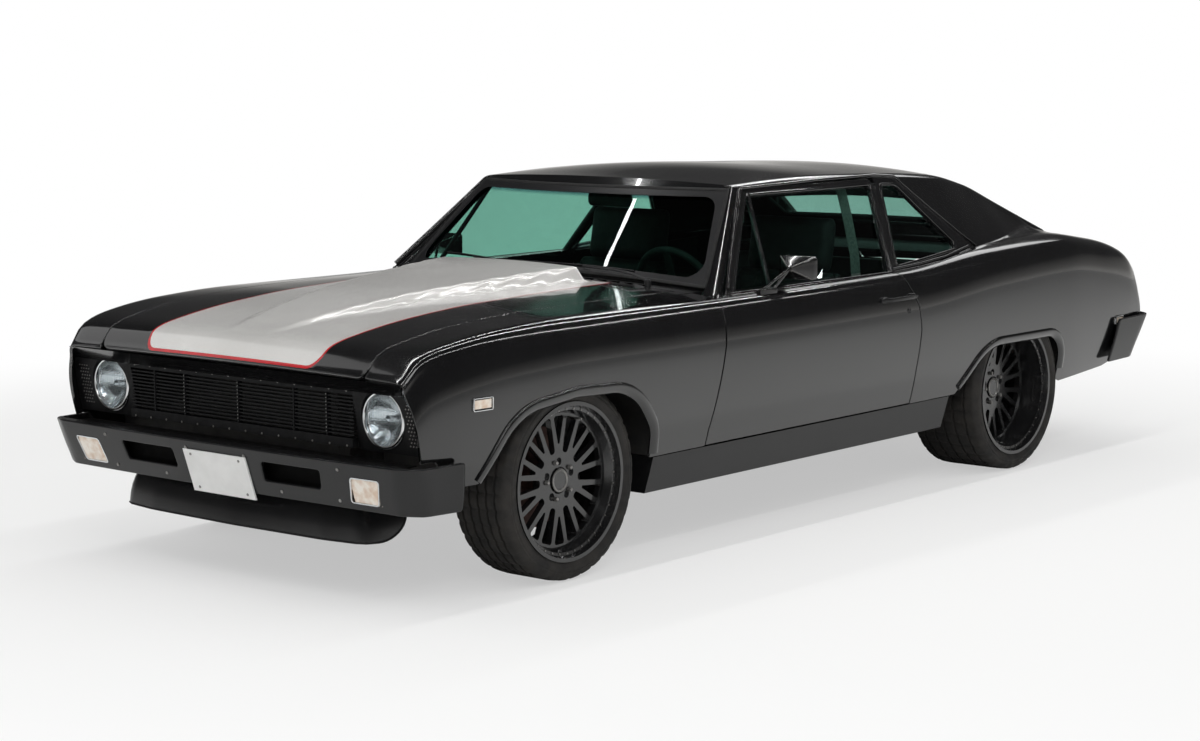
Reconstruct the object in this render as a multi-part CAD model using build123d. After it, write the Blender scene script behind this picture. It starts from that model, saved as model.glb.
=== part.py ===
# Two-door muscle car of about 1970: body shell, cabin, running gear.
# Millimetres. +Z up, the car faces -Y, +X is its left. The origin is on the
# ground under the middle of the car.
from build123d import *
from math import acos, cos, radians, sin, sqrt, tan
import os

os.makedirs("parts", exist_ok=True)

# ---- whole car
wheelbase = 2819
front_axle_y = -1600
rear_axle_y = front_axle_y + wheelbase
skin = 6                # outer panels
seam = 5                # gap between panels
firewall_y = -752
seat_gap = 0.3          # between a piece and what carries it
hood_hinge = (-770, 868)   # y, z of the hinge axis
trunk_hinge = (1685, 928)

# ---- wheels
tyre_r = 335
rim_r = 262             # bead seat
lip_r = 270
front_tyre_w = 245
rear_tyre_w = 325
front_outer_x = 870     # outer sidewall plane
rear_outer_x = 891
kingpin_x = 650
front_dish = 50         # the spokes stand this far in from the lip
rear_dish = 112
lip_in = 10             # lip plane to outer sidewall plane
hub_depth = 20          # hub face to spoke face
rear_stub_x = rear_outer_x - lip_in - rear_dish - hub_depth - 2
axle_z = tyre_r
arch_top = 2 * tyre_r - 48
house_top = 2 * tyre_r + 65

# ---- hull: cross sections of the lower body, front to back
# columns: y, half width at the waist, crest x, crest z, top z at the centre
HULL = [
    (-2342, 845, 800, 742, 752),
    (-2275, 866, 812, 812, 822),
    (-2150, 889, 824, 848, 850),
    (-1900, 908, 830, 877, 885),
    (-1600, 918, 832, 888, 910),
    (-800, 916, 836, 884, 935),
    (400, 918, 838, 890, 900),
    (1050, 919, 806, 938, 960),
    (1600, 916, 778, 956, 975),
    (1900, 905, 772, 924, 940),
    (2170, 886, 768, 866, 882),
    (2270, 872, 764, 808, 822),
    (2320, 862, 760, 735, 748),
]
hull_bottom = 230
sill_z = 365            # lower edge of the doors
sill_in = 46            # the side is this far in at the sill
rocker_in = 88          # and this far in at its bottom
waist_drop = 190        # the waist lies this far below the crest
shoulder_drop = 42
shoulder_in = 28

# ---- greenhouse: cross sections above the belt
# columns: y, half width at the belt, roof edge x, roof edge z, centre z
ROOF = [
    (-1000, 852, 620, 1215, 1240),
    (-440, 852, 624, 1246, 1272),
    (50, 852, 632, 1262, 1299),
    (500, 850, 628, 1252, 1285),
    (1000, 838, 600, 1224, 1266),
    (1285, 822, 578, 1172, 1200),
    (1440, 812, 584, 1118, 1138),
    (1800, 790, 676, 952, 960),
]
belt_z = 870
greenhouse_wall = 28
lid_half_widths = (602, 638)     # trunk lid at its front edge, clear of the sail panels, and behind them
mirror_at = (886, -355, 960)     # centre of the door mirror's head
mirror_half = (76, 43)           # half its width and half its height
glass_in = 10
glass_thick = 6
screen_base = (-845, 144, 739)   # windshield base: centre y, sweep back, at this x
screen_base_z = 913
screen_lean = (0, 361, 340)
backlight_base = (1705, 80, 620)  # rear window base: centre y, sweep, at this x
backlight_base_z = 968
backlight_lean = (0, -600, 277)


def rounded(points):
    """Closed face in XY. Each row is u, v, corner radius."""
    corners = []
    for i, (u, v, r) in enumerate(points):
        p = Vector(u, v)
        before = (Vector(*points[i - 1][:2]) - p).normalized()
        after = (Vector(*points[(i + 1) % len(points)][:2]) - p).normalized()
        if r == 0:
            corners.append((p, None, p))
            continue
        half = acos(before.dot(after)) / 2
        middle = (before + after).normalized()
        reach = r / tan(half)
        corners.append((p + before * reach, p + middle * (r / sin(half) - r), p + after * reach))
    edges = []
    for i, (start, mid, end) in enumerate(corners):
        if mid is not None:
            edges.append(ThreePointArc(start, mid, end))
        following = corners[(i + 1) % len(corners)][0]
        if (following - end).length > 1e-6:
            edges.append(Line(end, following))
    return make_face(edges)


def side(points, x0, x1):
    """Prism of a side view outline (y, z, radius) from x0 to x1."""
    return extrude(Plane.YZ.offset(x0) * rounded(points), x1 - x0)


def front(points, y0, y1):
    """Prism of a front view outline (x, z, radius) from y0 to y1."""
    return extrude(Plane.XZ.offset(-y0) * rounded(points), y0 - y1)


def plan(points, z0, z1):
    """Prism of a top view outline (x, y, radius) from z0 to z1."""
    return extrude(Plane.XY.offset(z0) * rounded(points), z1 - z0)


def block(x0, x1, y0, y1, z0, z1):
    return Pos((x0 + x1) / 2, (y0 + y1) / 2, (z0 + z1) / 2) * Box(x1 - x0, y1 - y0, z1 - z0)


def rod_x(x0, x1, y, z, r):
    """Cylinder along X."""
    return Pos((x0 + x1) / 2, y, z) * Rot(0, 90, 0) * Cylinder(r, abs(x1 - x0))


def rod(a, b, r):
    """Cylinder between two points."""
    a, b = Vector(*a), Vector(*b)
    plane = Plane(origin=a, z_dir=b - a)
    return plane * Pos(0, 0, (b - a).length / 2) * Cylinder(r, (b - a).length)


def mirrored(piece):
    return mirror(piece, about=Plane.YZ)


def both(piece):
    return piece + mirrored(piece)


def hull_section(row, inset):
    y, w, cx, cz, tz = row
    w, cx, cz, tz = w - inset, cx - inset * 0.6, cz - inset, tz - inset
    path = [
        (w - rocker_in, hull_bottom + inset), None, (w - sill_in, sill_z),
        (w - 13, (sill_z + cz - waist_drop) / 2 - 8),
        (w, cz - waist_drop), (w - 7, cz - (waist_drop + shoulder_drop) / 2 + 6),
        (w - shoulder_in, cz - shoulder_drop),
        ((w - shoulder_in + cx) / 2 + 7, cz - 12), (cx, cz),
    ]
    right = []
    for i in range(0, len(path) - 2, 2):
        right.append((path[i], path[i + 1], path[i + 2]))
    edges = []
    for a, m, b in right:
        edges.append(Line(a, b) if m is None else ThreePointArc(a, m, b))
    edges.append(ThreePointArc((cx, cz), (0, tz), (-cx, cz)))
    for a, m, b in reversed(right):
        a, b = (-a[0], a[1]), (-b[0], b[1])
        edges.append(Line(b, a) if m is None else ThreePointArc(b, (-m[0], m[1]), a))
    edges.append(Line((-(w - rocker_in), hull_bottom + inset), (w - rocker_in, hull_bottom + inset)))
    return Plane.XZ.offset(-y) * make_face(edges)


def hull(inset):
    rows = list(HULL)
    if inset:
        rows[0] = (rows[0][0] - 20,) + rows[0][1:]
        rows[-1] = (rows[-1][0] + 20,) + rows[-1][1:]
    return loft([hull_section(r, inset) for r in rows], ruled=True)


def roof_section(row, inset):
    y, bx, ex, ez, cz = row
    bx, ez, cz = bx - inset, ez - inset, cz - inset
    ex = ex - inset * 0.8
    z0 = belt_z - (30 if inset else 0)
    edges = [
        Line((-bx, z0), (bx, z0)), Line((bx, z0), (ex + 20, ez - 30)),
        ThreePointArc((ex + 20, ez - 30), (ex + 4, ez - 7), (ex - 34, ez + 5)),
        ThreePointArc((ex - 34, ez + 5), (0, cz), (-ex + 34, ez + 5)),
        ThreePointArc((-ex + 34, ez + 5), (-ex - 4, ez - 7), (-ex - 20, ez - 30)),
        Line((-ex - 20, ez - 30), (-bx, z0)),
    ]
    return Plane.XZ.offset(-y) * make_face(edges)


def swept_arc(base, x):
    """y of a bowed base line at x."""
    y0, sweep, at = base
    return y0 + (1 if y0 < 0 else -1) * sweep * (x / at) ** 2


def screen_prism(inset):
    """Everything behind the windshield plane."""
    y0 = screen_base[0] + inset * 1.45
    y1 = swept_arc(screen_base, 900) + inset * 1.45
    face = make_face([ThreePointArc((-900, y1), (0, y0), (900, y1)), Line((900, y1), (900, 2300)),
                      Line((900, 2300), (-900, 2300)), Line((-900, 2300), (-900, y1))])
    drop = screen_base_z - belt_z + 40
    back = drop * screen_lean[1] / screen_lean[2]
    return extrude(Plane.XY.offset(screen_base_z - drop) * Pos(0, -back, 0) * face, 800, dir=screen_lean)


def backlight_cut(inset):
    """What is cut away above the rear window, between the sail panels."""
    y0 = backlight_base[0] - inset * 2.3
    y1 = swept_arc(backlight_base, 800) - inset * 2.3
    face = make_face([ThreePointArc((-800, y1), (0, y0), (800, y1)), Line((800, y1), (800, 3200)),
                      Line((800, 3200), (-800, 3200)), Line((-800, 3200), (-800, y1))])
    drop = backlight_base_z - 900
    back = drop * backlight_lean[1] / backlight_lean[2]
    slab = extrude(Plane.XY.offset(backlight_base_z - drop) * Pos(0, -back, 0) * face, 1500,
                   dir=backlight_lean)
    between = plan([(-520 - inset, 900, 0), (520 + inset, 900, 0), (652 + inset, 1990, 0),
                    (-652 - inset, 1990, 0)], 850, 1400)
    return slab & between


def screen_opening(gap):
    """Prism of the windshield's outline, drawn in by a gap."""
    x0, x1, z1 = 736 - gap, 608 - gap, 1236 - gap
    outline = make_face([ThreePointArc((-x0, 906 + gap), (0, 944 + gap), (x0, 906 + gap)),
                         Line((x0, 906 + gap), (x1, z1)),
                         Line((x1, z1), (-x1, z1)), Line((-x1, z1), (-x0, 906 + gap))])
    return extrude(Plane.XZ.offset(1000) * outline, -750)


def backlight_opening(gap):
    """Prism of the rear window's outline, drawn in by a gap."""
    x0, x1 = 500 - gap, 568 - gap
    outline = make_face([Line((-x0, 1112 + gap), (x0, 1112 + gap)),
                         Line((x0, 1112 + gap), (x1, 1588 - gap)),
                         ThreePointArc((x1, 1588 - gap), (0, 1655 - gap), (-x1, 1588 - gap)),
                         Line((-x1, 1588 - gap), (-x0, 1112 + gap))])
    return extrude(Plane.XY.offset(940) * outline, 410)


def strap(points, half, x0, x1):
    """Bent flat bar in side view through (y, z) points."""
    bar = None
    for (y0, z0), (y1, z1) in zip(points, points[1:]):
        run = sqrt((y1 - y0) ** 2 + (z1 - z0) ** 2)
        ny, nz = -(z1 - z0) / run * half, (y1 - y0) / run * half
        leg = side([(y0 + ny, z0 + nz, 0), (y1 + ny, z1 + nz, 0), (y1 - ny, z1 - nz, 0),
                    (y0 - ny, z0 - nz, 0)], x0, x1)
        knee = rod_x(x0, x1, y1, z1, half)
        bar = leg + knee if bar is None else bar + leg + knee
    return bar


def greenhouse(inset):
    return loft([roof_section(r, inset) for r in ROOF],
                ruled=True) & screen_prism(inset) - backlight_cut(inset)


# ---- bumpers and chin: one bent blade each, from the middle out to its end
# columns: x and y at the top, x and y at the bottom, corner radius, share of the wall taken along X
FRONT_BLADE = [
    (0, -2411, 0, -2358, 0, 0),
    (230, -2411, 230, -2358, 0, 0),
    (480, -2406, 480, -2353, 0, 0),
    (822, -2394, 803, -2345, 40, 0.35),
    (893, -2356, 872, -2306, 40, 0.75),
    (905, -2150, 893, -2150, 0, 1),
]
REAR_BLADE = [
    (0, 2405, 0, 2338, 0, 0),
    (500, 2402, 500, 2337, 0, 0),
    (822, 2392, 835, 2334, 40, 0.35),
    (900, 2330, 884, 2290, 30, 0.75),
    (916, 2045, 893, 1975, 0, 1),
]
CHIN = [
    (0, -2300, 0, -2338, 0, 0),
    (400, -2298, 420, -2326, 0, 0),
    (560, -2280, 590, -2300, 60, 0.5),
    (640, -2150, 650, -2160, 0, 1),
]
blade_wall = 16
front_blade_z = (318, 480)   # bottom and top edge
rear_blade_z = (370, 560)
chin_z = (196, 312)
face_lean = (2411 - 2358) / (480 - 318)   # the front blade's face leans forward by this much per mm of height
lamp_at = (668, 607)         # x, z of a headlamp
lamp_r = 94.5
grille_y = -2290             # front of the grille bars
bar_step = 12
rib_places = (-423, -268, 0, 268, 423)

nodes = {}


def blade(rows, heights, wall):
    """Half of a bent plate between its bottom and its top outline."""
    way = 1 if rows[0][1] > 0 else -1
    outlines = []
    for z, pick in zip(heights, (2, 0)):
        outer = [(row[pick], row[pick + 1], row[4]) for row in rows]
        inner = [(row[pick] - wall * row[5], row[pick + 1] - way * wall * (1 - row[5]), max(row[4] - 10, 0))
                 for row in reversed(rows)]
        outlines.append(Plane.XY.offset(z) * rounded(outer + inner))
    return loft(outlines, ruled=True)


def blade_face(z):
    """y of the front bumper's face at a height, near the middle of the car."""
    return FRONT_BLADE[0][3] - (z - front_blade_z[0]) * face_lean


def add(name, piece):
    nodes[name] = piece


# ---- outlines in side view (y, z, radius)
door_front_edge = [(-880, 300), (-878, 424), (-816, 722), (-795, 905)]
door_rear_edge = [(345, 905), (425, 760), (444, 660), (430, 500), (428, 300)]
# wheel openings, y from the axle
FRONT_ARCH = [(-462, 300, 0), (-412, arch_top, 190), (270, arch_top, 230), (440, 300, 0)]
REAR_ARCH = [(-519, 300, 0), (-257, arch_top - 82, 260), (355, arch_top - 82, 95), (351, 300, 0)]


def edge(points, shift):
    return [(y + shift, z, 0) for y, z in points]


def at(axle_y, points):
    """Rows of y from an axle, z, radius as rows of y, z, radius."""
    return [(axle_y + y, z, r) for y, z, r in points]


def hood_plan(gap):
    """Plan of the hood, grown by a gap, as a prism through the hull."""
    front_x, rear_x = 647 + gap, 692 + gap
    outline = make_face([
        Line((-front_x, -2400), (front_x, -2400)), Line((front_x, -2400), (rear_x, -838 + gap)),
        ThreePointArc((rear_x, -838 + gap), (0, -925 + gap), (-rear_x, -838 + gap)),
        Line((-rear_x, -838 + gap), (-front_x, -2400)),
    ])
    return extrude(Plane.XY.offset(736 - gap) * outline, 400)


def lid_plan(gap):
    front_half, rear_half = lid_half_widths
    return plan([(-front_half - gap, 1730 - gap, 0), (front_half + gap, 1730 - gap, 0),
                 (rear_half + gap, 1890, 0), (rear_half + gap, 2400, 0), (-rear_half - gap, 2400, 0),
                 (-rear_half - gap, 1890, 0)], 738 - gap, 1200)


HULL_OUT = hull(0)
SHELL = HULL_OUT - hull(skin)
CABIN_TOP = plan([(-742, -700, 0), (742, -700, 0), (742, 1150, 0), (600, 1600, 0), (600, 1700, 0),
                  (-600, 1700, 0), (-600, 1600, 0), (-742, 1150, 0)], 800, 1100)


def body_panels():
    fender = side([(-2400, 745, 0), (-2350, 745, 0), (-2297, 484, 0), (-2240, 484, 0), (-2172, 389, 10)]
                  + at(front_axle_y, [(-448, 389, 0)] + FRONT_ARCH[1:3] + [(406, sill_z, 0)])
                  + edge([(-880, sill_z)] + door_front_edge[1:], -seam / 2)
                  + [(-797, 1100, 0), (-2400, 1100, 0)],
                  500, 1000)
    cowl_cut = block(-740 - seam, 740 + seam, -960, -600, 800, 1100)
    left = (SHELL & fender) - hood_plan(seam) - cowl_cut
    add("fender_left", left)
    add("fender_right", mirrored(left))
    quarter = side(edge([(428, sill_z)] + door_rear_edge[-2::-1], seam / 2)
                   + [(348, 1100, 0), (2400, 1100, 0), (2400, 430, 0), (2000, 352, 0)]
                   + at(rear_axle_y, [(391, 328, 0), (352, 340, 0)] + REAR_ARCH[2:0:-1]
                        + [(-461, sill_z, 0)]), 500, 1000)
    deck_panel = plan([(-618, 1600, 0), (618, 1600, 0), (618, 1725, 0), (-618, 1725, 0)], 800, 1100)
    ty, tz = trunk_hinge
    bracket = (block(572, 584, ty - 12, ty + 10, tz - 10, tz + 50) & hull(2)) + rod_x(558, 578, ty, tz, 6)
    add("rear_deck_panel", (SHELL & plan([(-617.7, 1640, 0), (617.7, 1640, 0), (617.7, 1725, 0),
                                          (-617.7, 1725, 0)], 800, 1100)) + both(bracket))
    left = (SHELL & quarter) - CABIN_TOP - lid_plan(seam) - deck_panel
    add("quarter_left", left)
    add("quarter_right", mirrored(left))
    add("tail_panel", (hull(skin + seat_gap) & block(-900, 900, 2296, 2320, 372, 733)))
    nose = side([(-2341, 734, 0), (-2301, 690, 0), (-2285.5, 690, 0), (-2315, 734, 0)], -840, 840)
    add("nose_panel", nose & hull(skin + seat_gap))
    cowl = (HULL_OUT - hull(24)) & plan([(-740, -960, 0), (740, -960, 0), (740, -640, 0),
                                         (-740, -640, 0)], 860, 1000)
    hy, hz = hood_hinge
    cowl = (cowl - hood_plan(seam) - screen_prism(-1)) + both((block(622, 634, hy - 8, hy + 12, hz - 10,
                                                                     hz + 60) & hull(10))
                                                                     + rod_x(608, 628, hy, hz, 6))
    add("cowl_panel", cowl)
    rocker = front([(830, 230, 8), (868, 362, 0), (735, 362, 0), (735, 230, 0)], front_axle_y + 430,
                   rear_axle_y - 497)
    add("rocker_panels", both(rocker & hull(0.5)))
    ty, tz = trunk_hinge
    arm = strap([(ty, tz), (ty + 10, tz - 45), (ty + 62, tz - 45), (ty + 78, tz + 30)], 5, 560,
                568) + rod_x(560, 568, ty, tz, 12)
    lid = (SHELL & lid_plan(0)) + both((arm & hull(skin)) - rod_x(550, 580, ty, tz, 6.3))
    add("trunk_lid", lid)
    hood = SHELL & hood_plan(0)
    scoop = loft([
        Plane.XZ.offset(2200) * Pos(0, 815) * rounded([(-90, 0, 0), (90, 0, 0), (70, 14, 0), (-70, 14, 0)]),
        Plane.XZ.offset(1500) * Pos(0, 888) * rounded([(-230, 0, 0), (230, 0, 0), (190, 42, 0),
                                                       (-190, 42, 0)]),
        Plane.XZ.offset(935) * Pos(0, 905) * rounded([(-330, 0, 0), (330, 0, 0), (280, 68, 0),
                                                      (-280, 68, 0)]),
    ], ruled=True)
    mouth = block(-265, 265, -1100, -900, 925, 960)
    hy, hz = hood_hinge
    arm = strap([(hy, hz), (hy - 60, hz - 70), (hy - 140, hz - 50), (hy - 150, hz + 32)], 5, 610,
                618) + rod_x(610, 618, hy, hz, 12)
    arm = (arm & hull(skin + 0.0)) - rod_x(600, 630, hy, hz, 6.3)
    add("hood", hood + (scoop - mouth) + both(arm))


def cabin_shell():
    shell = greenhouse(0) - greenhouse(greenhouse_wall)
    screen = screen_opening(0)
    back = backlight_opening(0)
    DOOR_TOP = [(-745, 800, 0), (-745, 882, 0), (-372, 1240, 45), (497, 1240, 30), (349, 882, 0),
                (349, 800, 0)]
    GLASS = [(-704, 897, 0), (-346, 1222, 25), (478, 1222, 15), (326, 897, 0)]
    QUARTER = [(388, 905, 10), (532, 1214, 15), (650, 1208, 60), (912, 944, 25)]
    PILLAR = front([(-800, 800, 0), (800, 800, 0), (800, 880, 0), (632, 1232, 0), (632, 1300, 0),
                    (-632, 1300, 0), (-632, 1232, 0), (-800, 880, 0)], -1100, -250) - screen_prism(45)
    door_cut = side([(-755, 800, 0), (-755, 880, 0), (-376, 1246, 48), (508, 1246, 33), (360, 880, 0),
                     (360, 800, 0)], 580, 1000) - PILLAR
    quarter_cut = side(QUARTER, 400, 1000)
    left = shell - HULL_OUT - screen - back
    add("roof_panel", (left - both(door_cut) - both(quarter_cut)).solids().sort_by(SortBy.VOLUME)[-1])
    glass = greenhouse(glass_in) - greenhouse(glass_in + glass_thick)
    add("windshield", glass & screen_opening(0.5))
    add("rear_window", glass & backlight_opening(0.5))
    quarter_pane = side([(388.5, 905.5, 10), (532, 1213.5, 15), (650, 1207.5, 60), (911.5, 944.5, 25)],
                        400, 1000)
    add("quarter_glass", both((glass & quarter_pane) - HULL_OUT))
    # doors
    lower = side(edge([(-880, sill_z)] + door_front_edge[1:], seam / 2)
                 + edge(door_rear_edge[:-1] + [(428, sill_z)], -seam / 2),
                 770, 1000)
    pillar_gap = front([(-805, 800, 0), (805, 800, 0), (805, 880, 0), (637, 1232, 0), (637, 1300, 0),
                        (-637, 1300, 0), (-637, 1232, 0), (-805, 880, 0)], -1100, -250) - screen_prism(50)
    frame = (shell & side(DOOR_TOP, 612, 1000)) - HULL_OUT - pillar_gap
    frame -= side(GLASS, 400, 1000)
    inner_room = side(edge([(-880, 300)] + door_front_edge[1:], seam / 2 + 20)
                      + edge(door_rear_edge, -seam / 2 - 30), 700, 850)
    lower -= block(700, 850, -1000, 1000, 300, 1000) - inner_room
    lower -= block(700, 803, -1000, 1000, 878, 1000)
    door = (HULL_OUT & lower) + frame
    pane = (glass & side([(-703.5, 897.5, 0), (-346, 1221.5, 25), (477.5, 1221.5, 15), (325.5, 897.5, 0)],
                         400, 1000)) - HULL_OUT - pillar_gap
    mx, my, mz = mirror_at
    mw, mh = mirror_half

    def head_section(back, half_width, half_height, corner):
        """Rounded section of the mirror's head, a distance behind its centre."""
        return Plane.XZ.offset(-my - back) * Pos(mx, mz) * rounded([
            (-half_width, -half_height, corner), (half_width, -half_height, corner),
            (half_width, half_height, corner), (-half_width, half_height, corner)])

    mirror_head = loft([head_section(25, mw, mh, 12), head_section(-7, mw - 3, mh - 3, 12),
                        head_section(-47, 12, 10, 3)], ruled=True)
    tip = (mx - 2, my - 42, mz)
    foot = block(843, 868, my - 190, my - 90, 868, 892)
    arms = rod((852, my - 180, 884), tip, 5) + rod((852, my - 100, 884), tip, 5) + foot
    handle = block(890, 938, 170, 405, 786, 806) - block(0, 926, 200, 375, 700, 900)
    handle -= hull(-seat_gap)
    mirror_and_arms = (mirror_head + arms) - hull(-seat_gap)
    hardware = handle + mirror_and_arms
    for name, pick in (("left", lambda p: p), ("right", mirrored)):
        add("door_" + name, pick(door))
        add("door_glass_" + name, pick(pane))
        add("door_hardware_" + name, pick(hardware))


def front_end():
    bar = blade(FRONT_BLADE, front_blade_z, blade_wall)
    shelf = plan([(0, -2400, 0), (480, -2394, 0), (800, -2383, 0), (850, -2350, 0), (850, -2337, 0),
                  (0, -2337, 0)],
                 front_blade_z[1] - 10, front_blade_z[1])
    slots = plan([(215, -2450, 0), (479, -2450, 0), (479, -2300, 0), (215, -2300, 0)], 374, 440)
    lamp_hole = block(612.7, 734.3, -2420, -2300, 345.7, 430.3)
    stay = block(345, 385, -2362, -2200, 345, 368)
    bar = bar + shelf - slots - lamp_hole + stay
    bar -= hull(-0.5) & block(800, 1000, -2230, -2100, 300, 500)
    add("front_bumper", both(bar))
    turn_lamp = side([(-2354, 346, 0), (-2380, 430, 0), (-2358, 430, 0), (-2332, 346, 0)], 613, 734)
    front_marker = (block(860, 930, -2100, -2030, 640, 668) & hull(-5)) - hull(-seat_gap)
    rear_marker = (block(860, 930, 2055, 2110, 540, 562) & hull(-5)) - hull(-seat_gap)
    add("marker_lamps", both(turn_lamp + front_marker + rear_marker))
    z0, z1 = 300, 448
    back = seat_gap
    face = seat_gap + 5.7
    add("plate", side([(blade_face(z0) - face, z0, 0), (blade_face(z1) - face, z1, 0),
                       (blade_face(z1) - back, z1, 0), (blade_face(z0) - back, z0, 0)], -152, 152))
    add("grille", grille_bars() + both(lamp_bezel()))
    add("headlamps", both(headlamp()))
    brackets = block(345, 385, -2294, -2200, 296, 308)
    add("chin_spoiler", both(blade(CHIN, chin_z, 12) + brackets))


def grille_bars():
    bars = block(-545, 545, grille_y - 6, grille_y + 18, 508, 536) + block(-545, 545, grille_y - 4,
                                                                           grille_y + 18, 678, 689.7)
    for z in range(544, 678, bar_step):
        bars += block(-545, 545, grille_y, grille_y + 12, z, z + 5)
    for x in rib_places:
        bars += block(x - 3, x + 3, grille_y - 2, grille_y + 16, 520, 680)
    return bars


def lamp_bezel():
    """Slanted plate round a headlamp, from the grille out to the fender."""
    x, z = lamp_at
    plate = side([(-2296, 689.7, 0), (-2264, 500, 0), (-2244, 500, 0), (-2276, 689.7, 0)], 545,
                 900) & hull(skin + 1)
    return plate - Pos(x, -2260, z) * Rot(90, 0, 0) * Cylinder(lamp_r + 0.5, 200)


def headlamp():
    """Round lamp: trim ring, then a shallow dome of glass."""
    x, z = lamp_at
    front_y, back_y = -2278, -2246
    ring_r, glass_r, tip_r = lamp_r - 9, lamp_r - 16, 8
    profile = make_face([
        Line((0, back_y), (lamp_r, back_y)),
        Line((lamp_r, back_y), (lamp_r, front_y)),
        Line((lamp_r, front_y), (ring_r, front_y - 4)),
        Line((ring_r, front_y - 4), (glass_r, front_y + 8)),
        ThreePointArc((glass_r, front_y + 8), (50, front_y + 1), (tip_r, front_y - 2)),
        Line((tip_r, front_y - 2), (0, front_y - 2)),
        Line((0, front_y - 2), (0, back_y)),
    ])
    return Pos(x, 0, z) * revolve(profile, Axis.Y)


def rear_end():
    stay = block(400, 440, 2320 + seat_gap, 2350, 425, 455)
    add("rear_bumper", both(blade(REAR_BLADE, rear_blade_z, blade_wall) + stay))
    add("tail_lamps", both(block(520, 730, 2320 + seat_gap, 2332, 590, 690)))


def cabin_inside():
    ry = rear_axle_y
    floor = block(-734, 734, firewall_y, ry - 659, 240,
                  252) + (block(-734, 734, firewall_y, firewall_y + 12, 240, 960) & hull(24.4))
    rise = side([(ry - 671, 240, 0), (ry - 659, 240, 0), (ry - 659, 370, 0), (ry - 219, 370, 0),
                 (ry - 219, 533, 0),
                 (ry + 269, 533, 0), (ry + 269, 418, 0), (2295, 418, 0), (2295, 430, 0), (ry + 281, 430, 0),
                 (ry + 281, 545, 0), (ry - 231, 545, 0), (ry - 231, 382, 0), (ry - 671, 382, 0)], -552, 552)
    ledges = both(block(540, 734, ry - 671, ry - 486, 370, 382)
                  + block(540, 734, ry - 671, ry - 659, 240, 382))
    tunnel = front([(-150, 252, 0), (-112, 462, 60), (112, 462, 60), (150, 252, 0)], firewall_y, ry - 224)
    tunnel_hollow = front([(-142, 236, 0), (-104, 454, 55), (104, 454, 55), (142, 236, 0)], firewall_y
                          - 1, ry - 209)
    tunnel_hollow += rod((0, -820, 398), (0, -730, 398), 60)
    add("floor_pan", (floor + tunnel + rise + ledges) - tunnel_hollow)
    outer = at(front_axle_y, [(-470, 392, 0), (-446, house_top, 220), (444, house_top, 220), (428, 368, 0)])
    inner = at(front_axle_y, [(420, 368, 0), (436, house_top - 8, 212), (-438, house_top - 8, 212),
                              (-462, 392, 0)])
    front_house = side(outer + inner, 455, 880)
    outer = at(ry, [(-484, 368, 0), (-429, house_top + 10, 220), (399, house_top + 10, 220), (393, 345, 0)])
    inner = at(ry, [(385, 345, 0), (391, house_top + 2, 212), (-421, house_top + 2, 212), (-476, 368, 0)])
    rear_house = side(outer + inner, 554, 900)
    rear_wall = side(outer, 554, 560)
    add("wheelhouses", both(((front_house + rear_house + rear_wall) & hull(skin + 0.5))
                            - rod_x(500, 600, rear_axle_y, axle_z, 60)))
    dash = side([(firewall_y + 12.3, 700, 0), (-640, 690, 30), (-560, 760, 30), (-570, 872, 40),
                 (firewall_y + 12.3, 900, 0)], -734, 734)
    add("dashboard", dash & hull(30))
    column_dir = Vector(0, cos(radians(22)), sin(radians(22)))
    hub = Vector(370, -430, 830)
    column = rod(hub - column_dir * 12, hub - column_dir * 300, 26) - nodes["dashboard"]
    add("steering_column", column.solids().sort_by(Axis.Y)[-1])
    ring = Plane(origin=hub + column_dir * 30, z_dir=column_dir) * Torus(178, 14)
    spokes = rod(hub - column_dir * 11.7, hub + column_dir * 25, 34)
    bars = Plane(origin=hub + column_dir * 22, x_dir=(1, 0, 0), z_dir=column_dir) * (Box(352, 34, 6)
                                                                                     + Pos(0, -88, 0)
                                                                                     * Box(34, 176, 6))
    add("steering_wheel", ring + spokes + bars)
    seat = side([(-330, 252.3, 0), (180, 252.3, 30), (330, 900, 60), (300, 1080, 40), (215, 1080, 40),
                 (130, 560, 80), (90, 470, 60),
                 (-330, 500, 60)], 165, 665)
    seat -= block(100, 300, -400, 500, 900, 1200)
    seat -= block(530, 700, -400, 500, 900, 1200)
    bench = side(at(ry, [(-629, 300, 0), (-234, 300, 0), (-219, 560, 0), (-139, 560, 0), (-59, 870, 40),
                         (-159, 870, 40), (-274, 500, 60), (-629, 520, 60)]), -540, 540)
    bench -= block(-600, 600, ry - 259, ry + 81, 200, 545.3) + block(-600, 600, ry - 719, ry - 219, 200,
                                                                     382.3)
    tunnel_room = front([(-153, 252, 0), (-114, 464, 60), (114, 464, 60), (153, 252, 0)], -800, 1000)
    add("seats", both(seat) + (bench - tunnel_room))
    tray = block(-560, 560, 1170, 1640, 878, 890)
    trims = both(side([(440, 383, 0), (ry - 494, 383, 0), (ry - 429, house_top + 15, 0),
                       (1150, house_top + 25, 0),
                       (1150, 900, 0), (440, 880, 0)], 744, 752))
    add("cabin_trim", tray + trims)


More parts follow.
